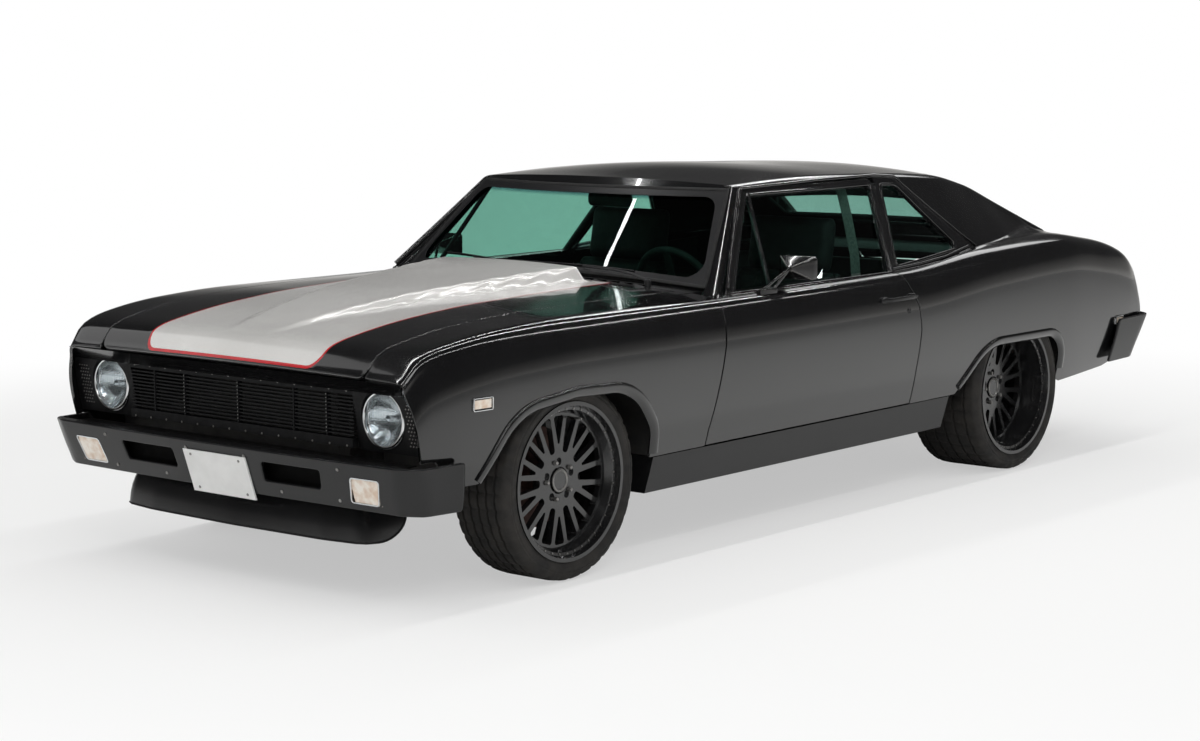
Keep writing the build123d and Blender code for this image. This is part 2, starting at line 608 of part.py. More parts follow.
def running_gear():
    block_shape = front([(-120, 300, 0), (-150, 480, 0), (-300, 640, 0), (-260, 840, 30), (260, 840, 30),
                         (300, 640, 0), (150, 480, 0), (120, 300, 0)], -1960, -1330)
    gearbox = rod((0, -1330, 430), (0, -820, 400), 95) & block(-200, 200, -1330, -812, 200, 600)
    add("engine", block_shape + gearbox)
    add("radiator", block(-360, 360, -2180, -2130, 380.3, 740))
    rail = side([(-2199.7, 300, 0), (-1900, 300, 0), (-1800, 239.7, 0), (-700, 200, 0), (-700, 239.7, 0),
                 (-810, 239.7, 0), (-1400, 330, 0), (-1900, 380, 0), (-2199.7, 380, 0)], 330, 400)
    cross = block(-330, 330, -1690, -1510, 215, 299.7)
    lower = rod((400, -1750, 262), (600, -1620, 232), 14) + rod((400, -1480, 262), (600, -1590, 232),
                                                                14) + Pos(612, -1602, 232) * Cylinder(34,
                                                                                                      30)
    tower = block(340, 400, -1660, -1540, 262, 600)
    upper = rod((395, -1640, 520), (588, -1610, 500), 11) + rod((395, -1560, 520), (588, -1592, 500),
                                                                11) + Pos(600, -1600, 500) * Cylinder(26,
                                                                                                      24)
    add("front_subframe", both(rail + lower + tower + upper) + cross)
    upright = side([(-1640, 262, 10), (-1560, 262, 10), (-1570, 470, 10), (-1630, 470, 10)], 618, 652)
    spindle = rod_x(652, 760, front_axle_y, axle_z, 25)
    caliper = side([(-1440, 400, 12), (-1400, 300, 12), (-1480, 270, 12), (-1510, 380, 12)], 645, 735)
    caliper -= rod_x(676, 712, front_axle_y, axle_z, 178)
    kingpins = Pos(kingpin_x, front_axle_y, 474) * Cylinder(16, 16)
    kingpins += Pos(kingpin_x, front_axle_y, 259) * Cylinder(16, 12)
    knuckle = upright + kingpins + spindle + block(630, 655, -1565, -1460, 315, 355) + caliper
    add("knuckle_left", knuckle)
    add("knuckle_right", mirrored(knuckle))
    axle = rod_x(-675, 675, rear_axle_y, axle_z, 40)
    pumpkin = rod_x(-85, 85, rear_axle_y, axle_z, 138) + rod((0, rear_axle_y - 150, 337),
                                                             (0, rear_axle_y, axle_z), 55)
    stubs = rod_x(-rear_stub_x, rear_stub_x, rear_axle_y, axle_z, 25)
    y0, y1 = rear_axle_y - 619, rear_axle_y + 631
    leaf = make_face([ThreePointArc((y0, 320), (rear_axle_y, 262), (y1, 335)), Line((y1, 335), (y1, 352)),
                      ThreePointArc((y1, 352), (rear_axle_y, 284), (y0, 337)), Line((y0, 337), (y0, 320))])
    shackles = block(470, 530, y0, y0 + 25, 325, 369.7) + block(470, 530, y1 - 25, y1, 340, 417.7)
    springs = both(extrude(Plane.YZ.offset(470) * leaf, 60) + shackles)
    pads = both(block(460, 540, rear_axle_y - 70, rear_axle_y + 70, 280, 330))
    add("rear_axle", axle + pumpkin + stubs + springs + pads)
    add("driveshaft", rod((0, -811, 398), (0, rear_axle_y - 152, 338), 38))
    pipes = both(rod((200, -1300, 206), (230, 900, 170), 30)) + both(Pos(225, 500, 172) * Rot(90, 0, 0)
                                                                     * Cylinder(62, 500))
    hangers = both(block(212, 222, -400, -388, 200, 239.7) + block(222, 232, 480, 492, 220, 239.7))
    add("exhaust", pipes + hangers)
    add("fuel_tank", side([(1760, 290, 40), (2250, 290, 40), (2250, 417, 0), (1760, 417, 0)], -380, 380))


def wheel(side_name, axle_y, outer_x, width, dish):
    """Tyre, rim and brake disc with the axis along X, outer side at +X."""
    x0, x1 = outer_x - width, outer_x
    lip = x1 - lip_in
    tread = make_face(Polyline(
        (x0 + 10, lip_r), (x0, lip_r + 30), (x0 + 8, tyre_r - 13), (x0 + 30, tyre_r), (x1 - 30, tyre_r),
        (x1 - 8, tyre_r - 13), (x1, lip_r + 30), (x1 - 10, lip_r), (x1 - 10, rim_r), (x0 + 10, rim_r),
        close=True))
    tyre = revolve(Plane.XY * tread, Axis.X)
    seat = rim_r - 0.3
    bore = rim_r - 34
    barrel = make_face(Polyline(
        (x0 + 10.5, seat), (lip, seat), (lip, lip_r - 0.5), (lip + 6, lip_r - 0.5), (lip + 6, rim_r - 6),
        (lip - 16, rim_r - 12), (lip - 18, rim_r - 22), (lip - dish + 6, bore), (x0 + 10.5, bore),
        close=True))
    rim = revolve(Plane.XY * barrel, Axis.X)
    face_x = lip - dish
    plate = rod_x(face_x - 24, face_x, 0, 0, bore + 4)
    u_slot = rounded([(96, -12, 11), (96, 12, 11), (bore - 10, 27, 10), (bore - 10, -27, 10)])
    v_slot = rounded([(124, -4, 2), (124, 4, 2), (bore - 10, 26, 9), (bore - 10, -26, 9)])
    slots = []
    for i in range(10):
        slots.append(extrude(Plane.YZ.offset(face_x - 40) * Rot(0, 0, 36 * i) * u_slot, 60))
        slots.append(extrude(Plane.YZ.offset(face_x - 40) * Rot(0, 0, 36 * i + 18) * v_slot, 60))
    lugs = [Rot(72 * i + 18, 0, 0) * rod_x(face_x - 10, face_x + 20, 64, 0, 13) for i in range(5)]
    dish_cut = Pos(face_x - 4, 0, 0) * Rot(0, 90, 0) * Cylinder(46, 20)
    hub = rod_x(face_x - 45, face_x - hub_depth, 0, 0, 80)
    cap = rod_x(face_x - hub_depth, face_x + 4, 0, 0, 40)
    rim += ((plate - slots) + hub) - dish_cut - lugs + cap
    rim -= rod_x(face_x - 200, face_x - hub_depth, 0, 0, 25.3)
    rotor = rod_x(682, 706, 0, 0, 172) + rod_x(706, face_x - 45.3, 0, 0, 70) - rod_x(600, 900, 0, 0, 25.3)
    place = Pos(0, axle_y, axle_z)
    for tag, piece in (("tyre", tyre), ("rim", rim), ("brake_disc", rotor)):
        moved = place * piece
        add(f"{tag}_{side_name}_left", moved)
        add(f"{tag}_{side_name}_right", mirrored(moved))


body_panels()
cabin_shell()
front_end()
rear_end()
cabin_inside()
running_gear()
wheel("front", front_axle_y, front_outer_x, front_tyre_w, front_dish)
wheel("rear", rear_axle_y, rear_outer_x, rear_tyre_w, rear_dish)

for name, piece in nodes.items():
    export_step(piece, f"parts/{name}.step")
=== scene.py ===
# Looks of the two-door muscle car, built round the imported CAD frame. Metres; the car faces -Y, its left is +X.
import math

import bpy
import numpy as np
from mathutils import Matrix, Vector, geometry


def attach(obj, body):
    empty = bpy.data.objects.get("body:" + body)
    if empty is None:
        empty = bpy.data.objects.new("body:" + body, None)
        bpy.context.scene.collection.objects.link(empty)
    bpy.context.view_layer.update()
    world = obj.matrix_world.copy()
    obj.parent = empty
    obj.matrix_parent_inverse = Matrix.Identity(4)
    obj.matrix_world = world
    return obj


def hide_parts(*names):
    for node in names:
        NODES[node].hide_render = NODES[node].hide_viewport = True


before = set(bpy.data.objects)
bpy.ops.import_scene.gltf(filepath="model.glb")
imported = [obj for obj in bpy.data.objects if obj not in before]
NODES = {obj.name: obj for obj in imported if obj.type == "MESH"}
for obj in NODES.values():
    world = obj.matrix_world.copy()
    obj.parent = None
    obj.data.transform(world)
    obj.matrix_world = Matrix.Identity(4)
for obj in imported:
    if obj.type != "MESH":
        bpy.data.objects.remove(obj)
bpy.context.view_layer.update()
SIDES = (("left", 1), ("right", -1))
MM = 0.001
FLIP = Matrix.Diagonal((-1, 1, 1, 1))


# ------------------------------------------------------------------ materials
NOISE_DETAIL = 4.0
COLOUR_SPAN = (0.35, 0.65)
ROUGH_SPAN = (0.3, 0.7)


def put(node, values):
    """Sets a node's own sockets, by name or number."""
    for name, value in values.items():
        node.inputs[name].default_value = value
    return node


def add(tree, kind, values=None, operation=None):
    node = tree.nodes.new("ShaderNode" + kind)
    if operation:
        node.operation = operation
    return put(node, values or {})


def link(tree, *rows):
    """Links rows of node, output, node, input."""
    for a, out, b, into in rows:
        tree.links.new(a.outputs[out], b.inputs[into])


def blank_material(name):
    m = bpy.data.materials.new(name)
    m.use_nodes = True
    return m, m.node_tree


def material(name, colour, rough=0.5, metal=0.0, specular=0.5, coat=0.0, coat_rough=0.05, other=None, vary=12.0,
             rough_to=None, rough_scale=40.0, bump=0.0, bump_scale=300.0):
    """Principled material whose colour, roughness and bump vary by noise in object space."""
    m, tree = blank_material(name)
    bsdf = put(tree.nodes["Principled BSDF"], {
        "Base Color": (*colour, 1), "Roughness": rough, "Metallic": metal, "Specular IOR Level": specular,
        "Coat Weight": coat, "Coat Roughness": coat_rough, "IOR": 1.5})
    coords = add(tree, "TexCoord")

    def noise(scale, node, into):
        n = add(tree, "TexNoise", {"Scale": scale, "Detail": NOISE_DETAIL})
        link(tree, (coords, "Object", n, "Vector"), (n, "Fac", node, into))

    if other:
        ramp = add(tree, "ValToRGB")
        for stop, place, shade in zip(ramp.color_ramp.elements, COLOUR_SPAN, (colour, other)):
            stop.position, stop.color = place, (*shade, 1)
        noise(vary, ramp, "Fac")
        link(tree, (ramp, "Color", bsdf, "Base Color"))
    if rough_to is not None:
        span = add(tree, "MapRange", {"From Min": ROUGH_SPAN[0], "From Max": ROUGH_SPAN[1], "To Min": rough,
                                      "To Max": rough_to})
        noise(rough_scale, span, "Value")
        link(tree, (span, "Result", bsdf, "Roughness"))
    if bump:
        relief = add(tree, "Bump", {"Strength": 1.0, "Distance": bump})
        noise(bump_scale, relief, "Height")
        link(tree, (relief, "Normal", bsdf, "Normal"))
    return m


def glass(name, tint, shade=(9.0, 10.0)):
    """Thin tinted glass, clear straight through and mirror-like at a glance; a blue band begins at shade."""
    m, tree = blank_material(name)
    tree.nodes.remove(tree.nodes["Principled BSDF"])
    clear = add(tree, "BsdfTransparent")
    gloss = add(tree, "BsdfGlossy", {"Roughness": 0.01, "Color": (0.9, 0.95, 0.95, 1)})
    fresnel = add(tree, "Fresnel", {"IOR": 1.35})
    facing = add(tree, "NewGeometry")
    front_only = add(tree, "Math", {1: -1.0, 2: 1.0}, "MULTIPLY_ADD")
    mirror_share = add(tree, "Math", operation="MULTIPLY")
    coords, split, ramp = add(tree, "TexCoord"), add(tree, "SeparateXYZ"), add(tree, "ValToRGB")
    span = add(tree, "MapRange", {"From Min": shade[0], "From Max": shade[1]})
    ramp.color_ramp.elements[0].color = (*tint, 1)
    ramp.color_ramp.elements[1].color = (0.02, 0.13, 0.20, 1)
    mix = add(tree, "MixShader")
    link(tree, (facing, "Backfacing", front_only, 0), (front_only, 0, mirror_share, 0),
         (fresnel, "Fac", mirror_share, 1), (coords, "Object", split, 0), (split, "Z", span, "Value"),
         (span, "Result", ramp, "Fac"),
         (ramp, "Color", clear, "Color"), (mirror_share, 0, mix, "Fac"), (clear, 0, mix, 1), (gloss, 0, mix, 2),
         (mix, 0, tree.nodes["Material Output"], "Surface"))
    return m


M = {
    "paint": material("body_black", (0.0045, 0.0045, 0.0048), 0.12, other=(0.006, 0.006, 0.0065), vary=5,
                      rough_to=0.17, rough_scale=9, bump=0.00004, bump_scale=260, coat=0.8, coat_rough=0.03),
    "silver": material("hood_silver", (0.62, 0.61, 0.59), 0.22, metal=0.25, other=(0.70, 0.69, 0.67), vary=3,
                       rough_to=0.30, rough_scale=900, bump=0.00002, bump_scale=1400, coat=0.6, coat_rough=0.04),
    "red": material("stripe_red", (0.50, 0.006, 0.012), 0.22, other=(0.40, 0.004, 0.01), vary=40, coat=0.4),
    "satin": material("satin_black", (0.007, 0.007, 0.0075), 0.22, specular=0.45, other=(0.0082, 0.0082, 0.0088),
                      vary=5, rough_to=0.27, rough_scale=7, bump=0.00001, bump_scale=240),
    "plastic": material("black_plastic", (0.007, 0.007, 0.008), 0.36, specular=0.35, other=(0.0085, 0.0085, 0.0092),
                        vary=12, rough_to=0.42, rough_scale=20, bump=0.00003, bump_scale=600),
    "chassis": material("chassis_black", (0.012, 0.012, 0.012), 0.55, other=(0.026, 0.024, 0.022), vary=9,
                        rough_to=0.75, rough_scale=20, bump=0.0004, bump_scale=60),
    "wheel": material("wheel_black", (0.007, 0.007, 0.0075), 0.22, specular=0.6, coat=0.7, coat_rough=0.06, vary=6,
                      other=(0.009, 0.009, 0.0095), rough_to=0.26, rough_scale=12, bump=0.000004, bump_scale=90),
    "tyre": material("tyre_rubber", (0.016, 0.0155, 0.015), 0.62, specular=0.35, other=(0.030, 0.027, 0.024), vary=14,
                     rough_to=0.78, rough_scale=50, bump=0.0002, bump_scale=420),
    "disc": material("disc_iron", (0.16, 0.10, 0.085), 0.38, metal=0.85, other=(0.11, 0.07, 0.06), vary=30,
                     rough_to=0.55, rough_scale=120, bump=0.0001, bump_scale=900),
    "iron": material("bare_iron", (0.085, 0.084, 0.082), 0.5, metal=0.7, other=(0.05, 0.047, 0.044), vary=24,
                     rough_to=0.7, rough_scale=60, bump=0.0005, bump_scale=180),
    "steel": material("steel", (0.36, 0.355, 0.345), 0.34, metal=0.95, other=(0.26, 0.25, 0.24), vary=14,
                      rough_to=0.5, rough_scale=70, bump=0.0001, bump_scale=500),
    "chrome": material("bright_metal", (0.78, 0.79, 0.80), 0.08, metal=1.0, other=(0.70, 0.71, 0.72), vary=60,
                       rough_to=0.14),
    "reflector": material("lamp_reflector", (0.92, 0.92, 0.92), 0.06, metal=1.0, other=(0.84, 0.84, 0.84), vary=70,
                          rough_to=0.2, bump=0.0012, bump_scale=150),
    "vinyl": material("seat_vinyl", (0.012, 0.012, 0.013), 0.45, specular=0.4, other=(0.02, 0.02, 0.021), vary=20,
                      rough_to=0.58, rough_scale=60, bump=0.0004, bump_scale=520),
    "trim": material("trim_vinyl", (0.012, 0.012, 0.012), 0.55, specular=0.35, other=(0.020, 0.020, 0.021), vary=25,
                     rough_to=0.7, rough_scale=90, bump=0.0004, bump_scale=700),
    "rubber": material("seal_rubber", (0.008, 0.008, 0.008), 0.6, specular=0.3, other=(0.014, 0.014, 0.014), vary=60,
                       bump=0.0001, bump_scale=900),
    "white": material("blank_white", (0.86, 0.86, 0.85), 0.35, other=(0.80, 0.80, 0.79), vary=16, rough_to=0.45,
                      bump=0.00005, bump_scale=600),
    "amber": material("lamp_amber", (0.74, 0.56, 0.42), 0.22, specular=0.6, other=(0.93, 0.86, 0.77), vary=34,
                      bump=0.0005, bump_scale=330, coat=0.8),
    "lens_red": material("lamp_red", (0.30, 0.004, 0.006), 0.18, other=(0.20, 0.003, 0.004), vary=90,
                         bump=0.0006, bump_scale=300, coat=0.6),
    "grille": material("grille_black", (0.004, 0.004, 0.0045), 0.45, specular=0.2, other=(0.007, 0.007, 0.008), vary=30,
                       rough_to=0.6, rough_scale=80, bump=0.00005, bump_scale=900),
    "webbing": material("belt_webbing", (0.20, 0.20, 0.19), 0.7, other=(0.13, 0.13, 0.125), vary=120, rough_to=0.85,
                        bump=0.0004, bump_scale=900),
    # near-black matte for painted shade: the sheets in the front bumper's slots and gap, and the pads in the cowl's
    # vent openings
    "dark": material("painted_recess_shade", (0.003, 0.003, 0.003), 0.8, specular=0.1, other=(0.005, 0.005, 0.005), vary=30),
    "screen": glass("windshield_glass", (0.60, 0.79, 0.73), (1.195, 1.222)),
    "glass": glass("window_glass", (0.66, 0.80, 0.76)),
    "lens": glass("lamp_clear", (0.93, 0.95, 0.96)),
}


# ------------------------------------------------------------------ meshes
class Mesh:
    """Collects faces and turns them into one object."""

    def __init__(self):
        self.points, self.faces, self.slots, self.normals = [], [], [], {}

    def add(self, points, faces, normals=()):
        start = len(self.points)
        self.points += [Vector(p) for p in points]
        self.faces += [tuple(i + start for i in f) for f in faces]
        self.slots += [0] * len(faces)
        self.normals.update({start + i: n for i, n in enumerate(normals)})
        return self

    def join(self, other):
        start = len(self.points)
        self.points += other.points
        self.faces += [tuple(i + start for i in f) for f in other.faces]
        self.slots += other.slots
        self.normals.update({i + start: n for i, n in other.normals.items()})
        return self

    def moved(self, matrix):
        other = Mesh()
        other.points = [matrix @ p for p in self.points]
        flip = matrix.determinant() < 0
        other.faces = [tuple(reversed(f)) if flip else f for f in self.faces]
        other.slots = list(self.slots)
        turn = matrix.to_3x3()
        other.normals = {i: (turn @ n).normalized() for i, n in self.normals.items()}
        return other

    def mirrored(self):
        return self.moved(FLIP)

    def object(self, name, keys, body="body", replaces=(), slot=None, sharp=35, bevel=0.0):
        """Makes the object; keys are its materials, in the order of the faces' slots."""
        keys = keys.split()
        data = bpy.data.meshes.new(name)
        data.from_pydata([tuple(p) for p in self.points], [], self.faces)
        for key in keys:
            data.materials.append(M[key])
        data.polygons.foreach_set("material_index", self.slots)
        data.polygons.foreach_set("use_smooth", [True] * len(data.polygons))
        data.update()
        if self.normals:
            normals = [tuple(self.normals.get(v.index, v.normal)) for v in data.vertices]
            data.normals_split_custom_set_from_vertices(normals)
        else:
            data.set_sharp_from_angle(angle=math.radians(sharp))
        obj = bpy.data.objects.new(name, data)
        bpy.context.scene.collection.objects.link(obj)
        if bevel:
            mod = obj.modifiers.new("edge", "BEVEL")
            mod.width, mod.segments, mod.harden_normals = bevel, 2, False
            mod.limit_method, mod.angle_limit = "ANGLE", math.radians(32)
        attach(obj, body)
        if replaces:
            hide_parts(*replaces)
        return obj


def both_sides(mesh):
    """The mesh with its mirror image added."""
    return mesh.join(mesh.mirrored())


def pair(mesh, name, keys, body="body", replaces=(), **options):
    """One object on the left and its mirror image on the right; {} in a name stands for the side."""
    for side, sign in SIDES:
        piece = mesh if sign > 0 else mesh.mirrored()
        piece.object(f"{name}_{side}", keys, body.format(side), [node.format(side) for node in replaces], **options)


def loft(rings, closed=False):
    """Quads between matching rings of points: closed joins the last ring to the first, open has caps."""
    count, m = len(rings), len(rings[0])
    faces = []
    for r in range(count if closed else count - 1):
        a, b = r * m, (r + 1) % count * m
        faces += [(a + i, a + (i + 1) % m, b + (i + 1) % m, b + i) for i in range(m)]
    if not closed:
        faces += [tuple(reversed(range(m))), tuple(range((count - 1) * m, count * m))]
    return Mesh().add([p for ring in rings for p in ring], faces)


def prism(outline, spots, centre=(0, 0, 0), axes="xzy"):
    """Loft of one outline, scaled at each (place, scale) along the last of the axes."""
    order = [axes.index(c) for c in "xyz"]
    return loft([[Vector([(u * scale, w * scale, along)[k] for k in order]) + Vector(centre) for u, w in outline]
                 for along, scale in spots])


def sheet(rows):
    """Quads between rows of matching points."""
    n = len(rows[0])
    faces = [(a + i, a + i + 1, a + n + i + 1, a + n + i)
             for a in range(0, (len(rows) - 1) * n, n) for i in range(n - 1)]
    return Mesh().add([p for row in rows for p in row], faces)


def circle(n, rx, ry=None):
    return [(rx * math.cos(math.tau * i / n), (ry or rx) * math.sin(math.tau * i / n)) for i in range(n)]


def oblong(w, h, r, n=4):
    """Rounded rectangle, counter-clockwise."""
    points = []
    for sx, sy, start in ((1, 1, 0), (-1, 1, 90), (-1, -1, 180), (1, -1, 270)):
        for t in (math.radians(start + 90 * i / n) for i in range(n + 1)):
            points.append((sx * (w / 2 - r) + r * math.cos(t), sy * (h / 2 - r) + r * math.sin(t)))
    return points


def bar(width, low, high, r=0.003):
    """Section of a moulding that reaches from low to high off its surface."""
    r = min(r, width / 2.2, (high - low) / 2.2)
    return [(u, v + (low + high) / 2) for u, v in oblong(width, high - low, r, 2)]


def box(x0, x1, y0, y1, z0, z1):
    points = [(x, y, z) for z in (z0, z1) for x, y in ((x0, y0), (x1, y0), (x1, y1), (x0, y1))]
    return Mesh().add(points, [(3, 2, 1, 0), (4, 5, 6, 7), (0, 1, 5, 4), (1, 2, 6, 5), (2, 3, 7, 6), (3, 0, 4, 7)])


def sweep(path, outward, profile, closed=False, scale=None):
    """Profile (across, outward) carried along a path; outward is one vector or one for each point."""
    path = [Vector(p) for p in path]
    n = len(path)
    rings = []
    for i, p in enumerate(path):
        a = path[(i - 1) % n] if closed or i else path[0]
        b = path[(i + 1) % n] if closed or i < n - 1 else path[-1]
        t = (b - a).normalized()
        across = t.cross(Vector(outward[i] if isinstance(outward, list) else outward)).normalized()
        out = across.cross(t).normalized()
        s = scale[i] if scale else 1.0
        rings.append([p + across * (u * s) + out * (v * s) for u, v in profile])
    mesh = loft(rings, closed)
    mesh.faces = [tuple(reversed(f)) for f in mesh.faces]
    return mesh


def lathe(profile, centre, segments=64, axis="X"):
    """Closed ring profile (along, radius) turned about an axis through centre."""
    order = {"X": (0, 1, 2), "Y": (1, 0, 2), "Z": (1, 2, 0)}[axis]
    rings = []
    for c, s in circle(segments, 1.0):
        rings.append([Vector([(u, r * c, r * s)[k] for k in order]) + Vector(centre) for u, r in profile])
    return loft(rings, closed=True)


def bolt(at, out, r=0.006, height=0.004):
    """Domed bolt head standing on a face."""
    out = Vector(out).normalized()
    side = out.orthogonal().normalized()
    other = out.cross(side)
    rings = []
    for h, k in ((0, 1.25), (0.25, 1.25), (0.3, 1.0), (0.85, 0.92), (1.0, 0.55)):
        rings.append([Vector(at) + out * (h * height) + (side * c + other * s) * (r * k) for c, s in circle(12, 1.0)])
    return loft(rings)


def rounded(points, n=6):
    """Points of an outline whose rows are u, v, corner radius."""
    out = []
    for i, (u, v, r) in enumerate(points):
        p = Vector((u, v))
        if not r:
            out.append(tuple(p))
            continue
        a = (Vector(points[i - 1][:2]) - p).normalized()
        b = (Vector(points[(i + 1) % len(points)][:2]) - p).normalized()
        half = math.acos(max(-1, min(1, a.dot(b)))) / 2
        reach = r / math.tan(half)
        centre = p + (a + b).normalized() * (r / math.sin(half))
        start, end = p + a * reach - centre, p + b * reach - centre
        turn = start.angle_signed(end)
        for t in (-turn * k / n for k in range(n + 1)):
            out.append((centre.x + start.x * math.cos(t) - start.y * math.sin(t),
                        centre.y + start.x * math.sin(t) + start.y * math.cos(t)))
    return out


def divided(points, step, closed=False, fit=int):
    """A line's points with more put between them, about a step apart."""
    out = []
    for a, b in zip(points, points[1:] + points[:1] if closed else points[1:]):
        n = max(1, fit(math.dist(a, b) / step))
        out += [(a[0] + (b[0] - a[0]) * i / n, a[1] + (b[1] - a[1]) * i / n) for i in range(n)]
    return out if closed else out + [points[-1]]


def inside(loops, points):
    """Which points lie inside the loops, even-odd."""
    result = np.zeros(len(points), bool)
    for loop in loops:
        a = np.array(loop)
        for (x0, y0), (x1, y1) in zip(a, np.roll(a, -1, axis=0)):
            if y0 != y1:
                result ^= ((points[:, 1] >= min(y0, y1)) & (points[:, 1] < max(y0, y1))
                           & (points[:, 0] < x0 + (points[:, 1] - y0) * (x1 - x0) / (y1 - y0)))
    return result


def distance_to(loops, points):
    """Distance from each point to the nearest loop."""
    near = np.full(len(points), np.inf)
    for loop in loops:
        a = np.array(loop)
        for p, q in zip(a, np.roll(a, -1, axis=0)):
            d = q - p
            t = np.clip(((points - p) @ d) / max(d @ d, 1e-12), 0, 1)
            near = np.minimum(near, np.linalg.norm(points - p - t[:, None] * d, axis=1))
    return near


def area(loop):
    a = np.array(loop)
    b = np.roll(a, -1, axis=0)
    return float((a[:, 0] * b[:, 1] - b[:, 0] * a[:, 1]).sum()) / 2


def panel(surface, outline, holes=(), du=0.03, dv=1.0, thick=0.006, roll=0.0025, drop=0.0008, hem=0.012,
          inner=None, flip=False, zones=()):
    """Closed sheet over part of a surface: a triangulated face, rolled edges and a back.

    The work is done in cells of du by dv. Each zone is an outline on the face that takes the next material.
    """
    loops = []
    for k, loop in enumerate([outline, *holes]):
        cells = [(u / du, v / dv) for u, v in loop]
        if (area(cells) < 0) == (k == 0):
            cells.reverse()
        loops.append(divided(cells, 1.0, True, math.ceil))
    zone_loops = [divided([(u / du, v / dv) for u, v in zone], 1.0, True, math.ceil) for zone in zones]

    def frame_at(u, v, e=0.4):
        a = surface((u + e) * du, v * dv) - surface((u - e) * du, v * dv)
        b = surface(u * du, (v + e) * dv) - surface(u * du, (v - e) * dv)
        n = a.cross(b).normalized()
        return (a / (2 * e)).length, (b / (2 * e)).length, -n if flip else n

    def drawn_in(loop):
        """The loop moved inwards by the roll of the edge."""
        shifted = []
        for i, (u, v) in enumerate(loop):
            la, lb = (max(size, 1e-6) for size in frame_at(u, v)[:2])
            (u0, v0), (u1, v1) = loop[i - 1], loop[(i + 1) % len(loop)]
            e0 = Vector(((u - u0) * la, (v - v0) * lb)).normalized()
            e1 = Vector(((u1 - u) * la, (v1 - v) * lb)).normalized()
            inward = Vector((-(e0.y + e1.y), e0.x + e1.x))
            inward = inward / max(inward.length_squared / 2, 0.35)
            shifted.append((u + inward.x * roll / la, v + inward.y * roll / lb))
        return shifted

    inset = [drawn_in(loop) for loop in loops]
    edge_points = [p for loop in inset for p in loop]
    lo = np.floor(np.min(edge_points, axis=0)) + 0.5
    hi = np.ceil(np.max(edge_points, axis=0))
    grid = np.array([(u, v) for u in np.arange(lo[0], hi[0]) for v in np.arange(lo[1], hi[1])])
    grid = grid[inside(inset, grid)]
    grid = grid[distance_to(inset + zone_loops, grid) > 0.4]
    edges, start = [], 0
    for loop in inset + zone_loops:
        edges += [(start + i, start + (i + 1) % len(loop)) for i in range(len(loop))]
        start += len(loop)
    flat = [Vector(p) for p in [*edge_points, *(p for loop in zone_loops for p in loop), *grid]]
    verts, _, tris, origins, _, _ = geometry.delaunay_2d_cdt(flat, edges, [], 2, 1e-7)
    made_from = {s: i for i, source in enumerate(origins) for s in source}
    centres = np.array([[sum(verts[i].x for i in t) / 3, sum(verts[i].y for i in t) / 3] for t in tris])
    keep = inside(inset, centres)
    tris, centres = [t for t, k in zip(tris, keep) if k], centres[keep]
    face_slots = np.zeros(len(tris), int)
    for k, loop in enumerate(zone_loops):
        face_slots[inside([loop], centres)] = k + 1

    face = [surface(p.x * du, p.y * dv) for p in verts]
    normal = [frame_at(p.x, p.y)[2] for p in verts]
    far = [Vector(inner(p)) if inner else p - n * thick for p, n in zip(face, normal)]
    count = len(face)
    faces = []
    for t in tris:
        a, b, c = (verts[i] for i in t)
        clockwise = (b - a).x * (c - a).y - (b - a).y * (c - a).x < 0
        faces.append(tuple(reversed(t)) if clockwise != flip else tuple(t))
    faces += [tuple(i + count for i in reversed(t)) for t in faces]
    points, normals = face + far, normal + [-n for n in normal]
    start = 0
    for loop in loops:
        m, base = len(loop), len(points)
        ids = [made_from[start + i] for i in range(m)]
        start += m
        rims = [[], [], []]
        for (u, v), k in zip(loop, ids):
            n = frame_at(u, v)[2]
            p = surface(u * du, v * dv)
            out = p - face[k]
            out = out - n * out.dot(n)
            out = out.normalized() if out.length > 1e-9 else Vector((0, 0, 1))
            rims[0].append((p - n * drop, (n + out).normalized()))
            rims[1].append((p - n * (drop + 0.002), out))
            rims[2].append((far[k] if inner else p - n * hem, out))
        for rim in rims:
            points += [p for p, _ in rim]
            normals += [n for _, n in rim]
        for i in range(m):
            j = (i + 1) % m
            rows = [(ids[i], ids[j]), *((base + k * m + i, base + k * m + j) for k in range(3)),
                    (ids[i] + count, ids[j] + count)]
            for (p, q), (r, s) in zip(rows, rows[1:]):
                faces.append((q, s, r, p) if flip else (p, r, s, q))
    mesh = Mesh().add(points, faces, normals)
    mesh.slots[:len(tris)] = [int(k) for k in face_slots]
    return mesh


# ------------------------------------------------------------------ body surfaces, from the CAD's own tables
# y, half width at the widest, half width and height of the crest, height of the middle
HULL = np.array([
    (-2342, 845, 800, 742, 752), (-2275, 866, 812, 812, 822), (-2150, 889, 824, 848, 850), (-1900, 908, 830, 877, 885),
    (-1600, 918, 832, 888, 910), (-800, 916, 836, 884, 935), (400, 918, 838, 890, 900), (1050, 919, 806, 938, 960),
    (1600, 916, 778, 956, 975), (1900, 905, 772, 924, 940), (2170, 886, 768, 866, 882), (2270, 872, 764, 808, 822),
    (2320, 862, 760, 735, 748)]) / 1000
# y, half width at the foot, half width and height of the edge, height of the middle
ROOF = np.array([
    (-1000, 852, 620, 1215, 1240), (-440, 852, 624, 1246, 1272), (50, 852, 632, 1262, 1299),
    (500, 850, 628, 1252, 1285), (1000, 838, 600, 1224, 1266), (1285, 822, 578, 1172, 1200),
    (1440, 812, 584, 1118, 1138), (1800, 790, 676, 952, 960)]) / 1000
CREST, ROOF_EDGE = 38, 24


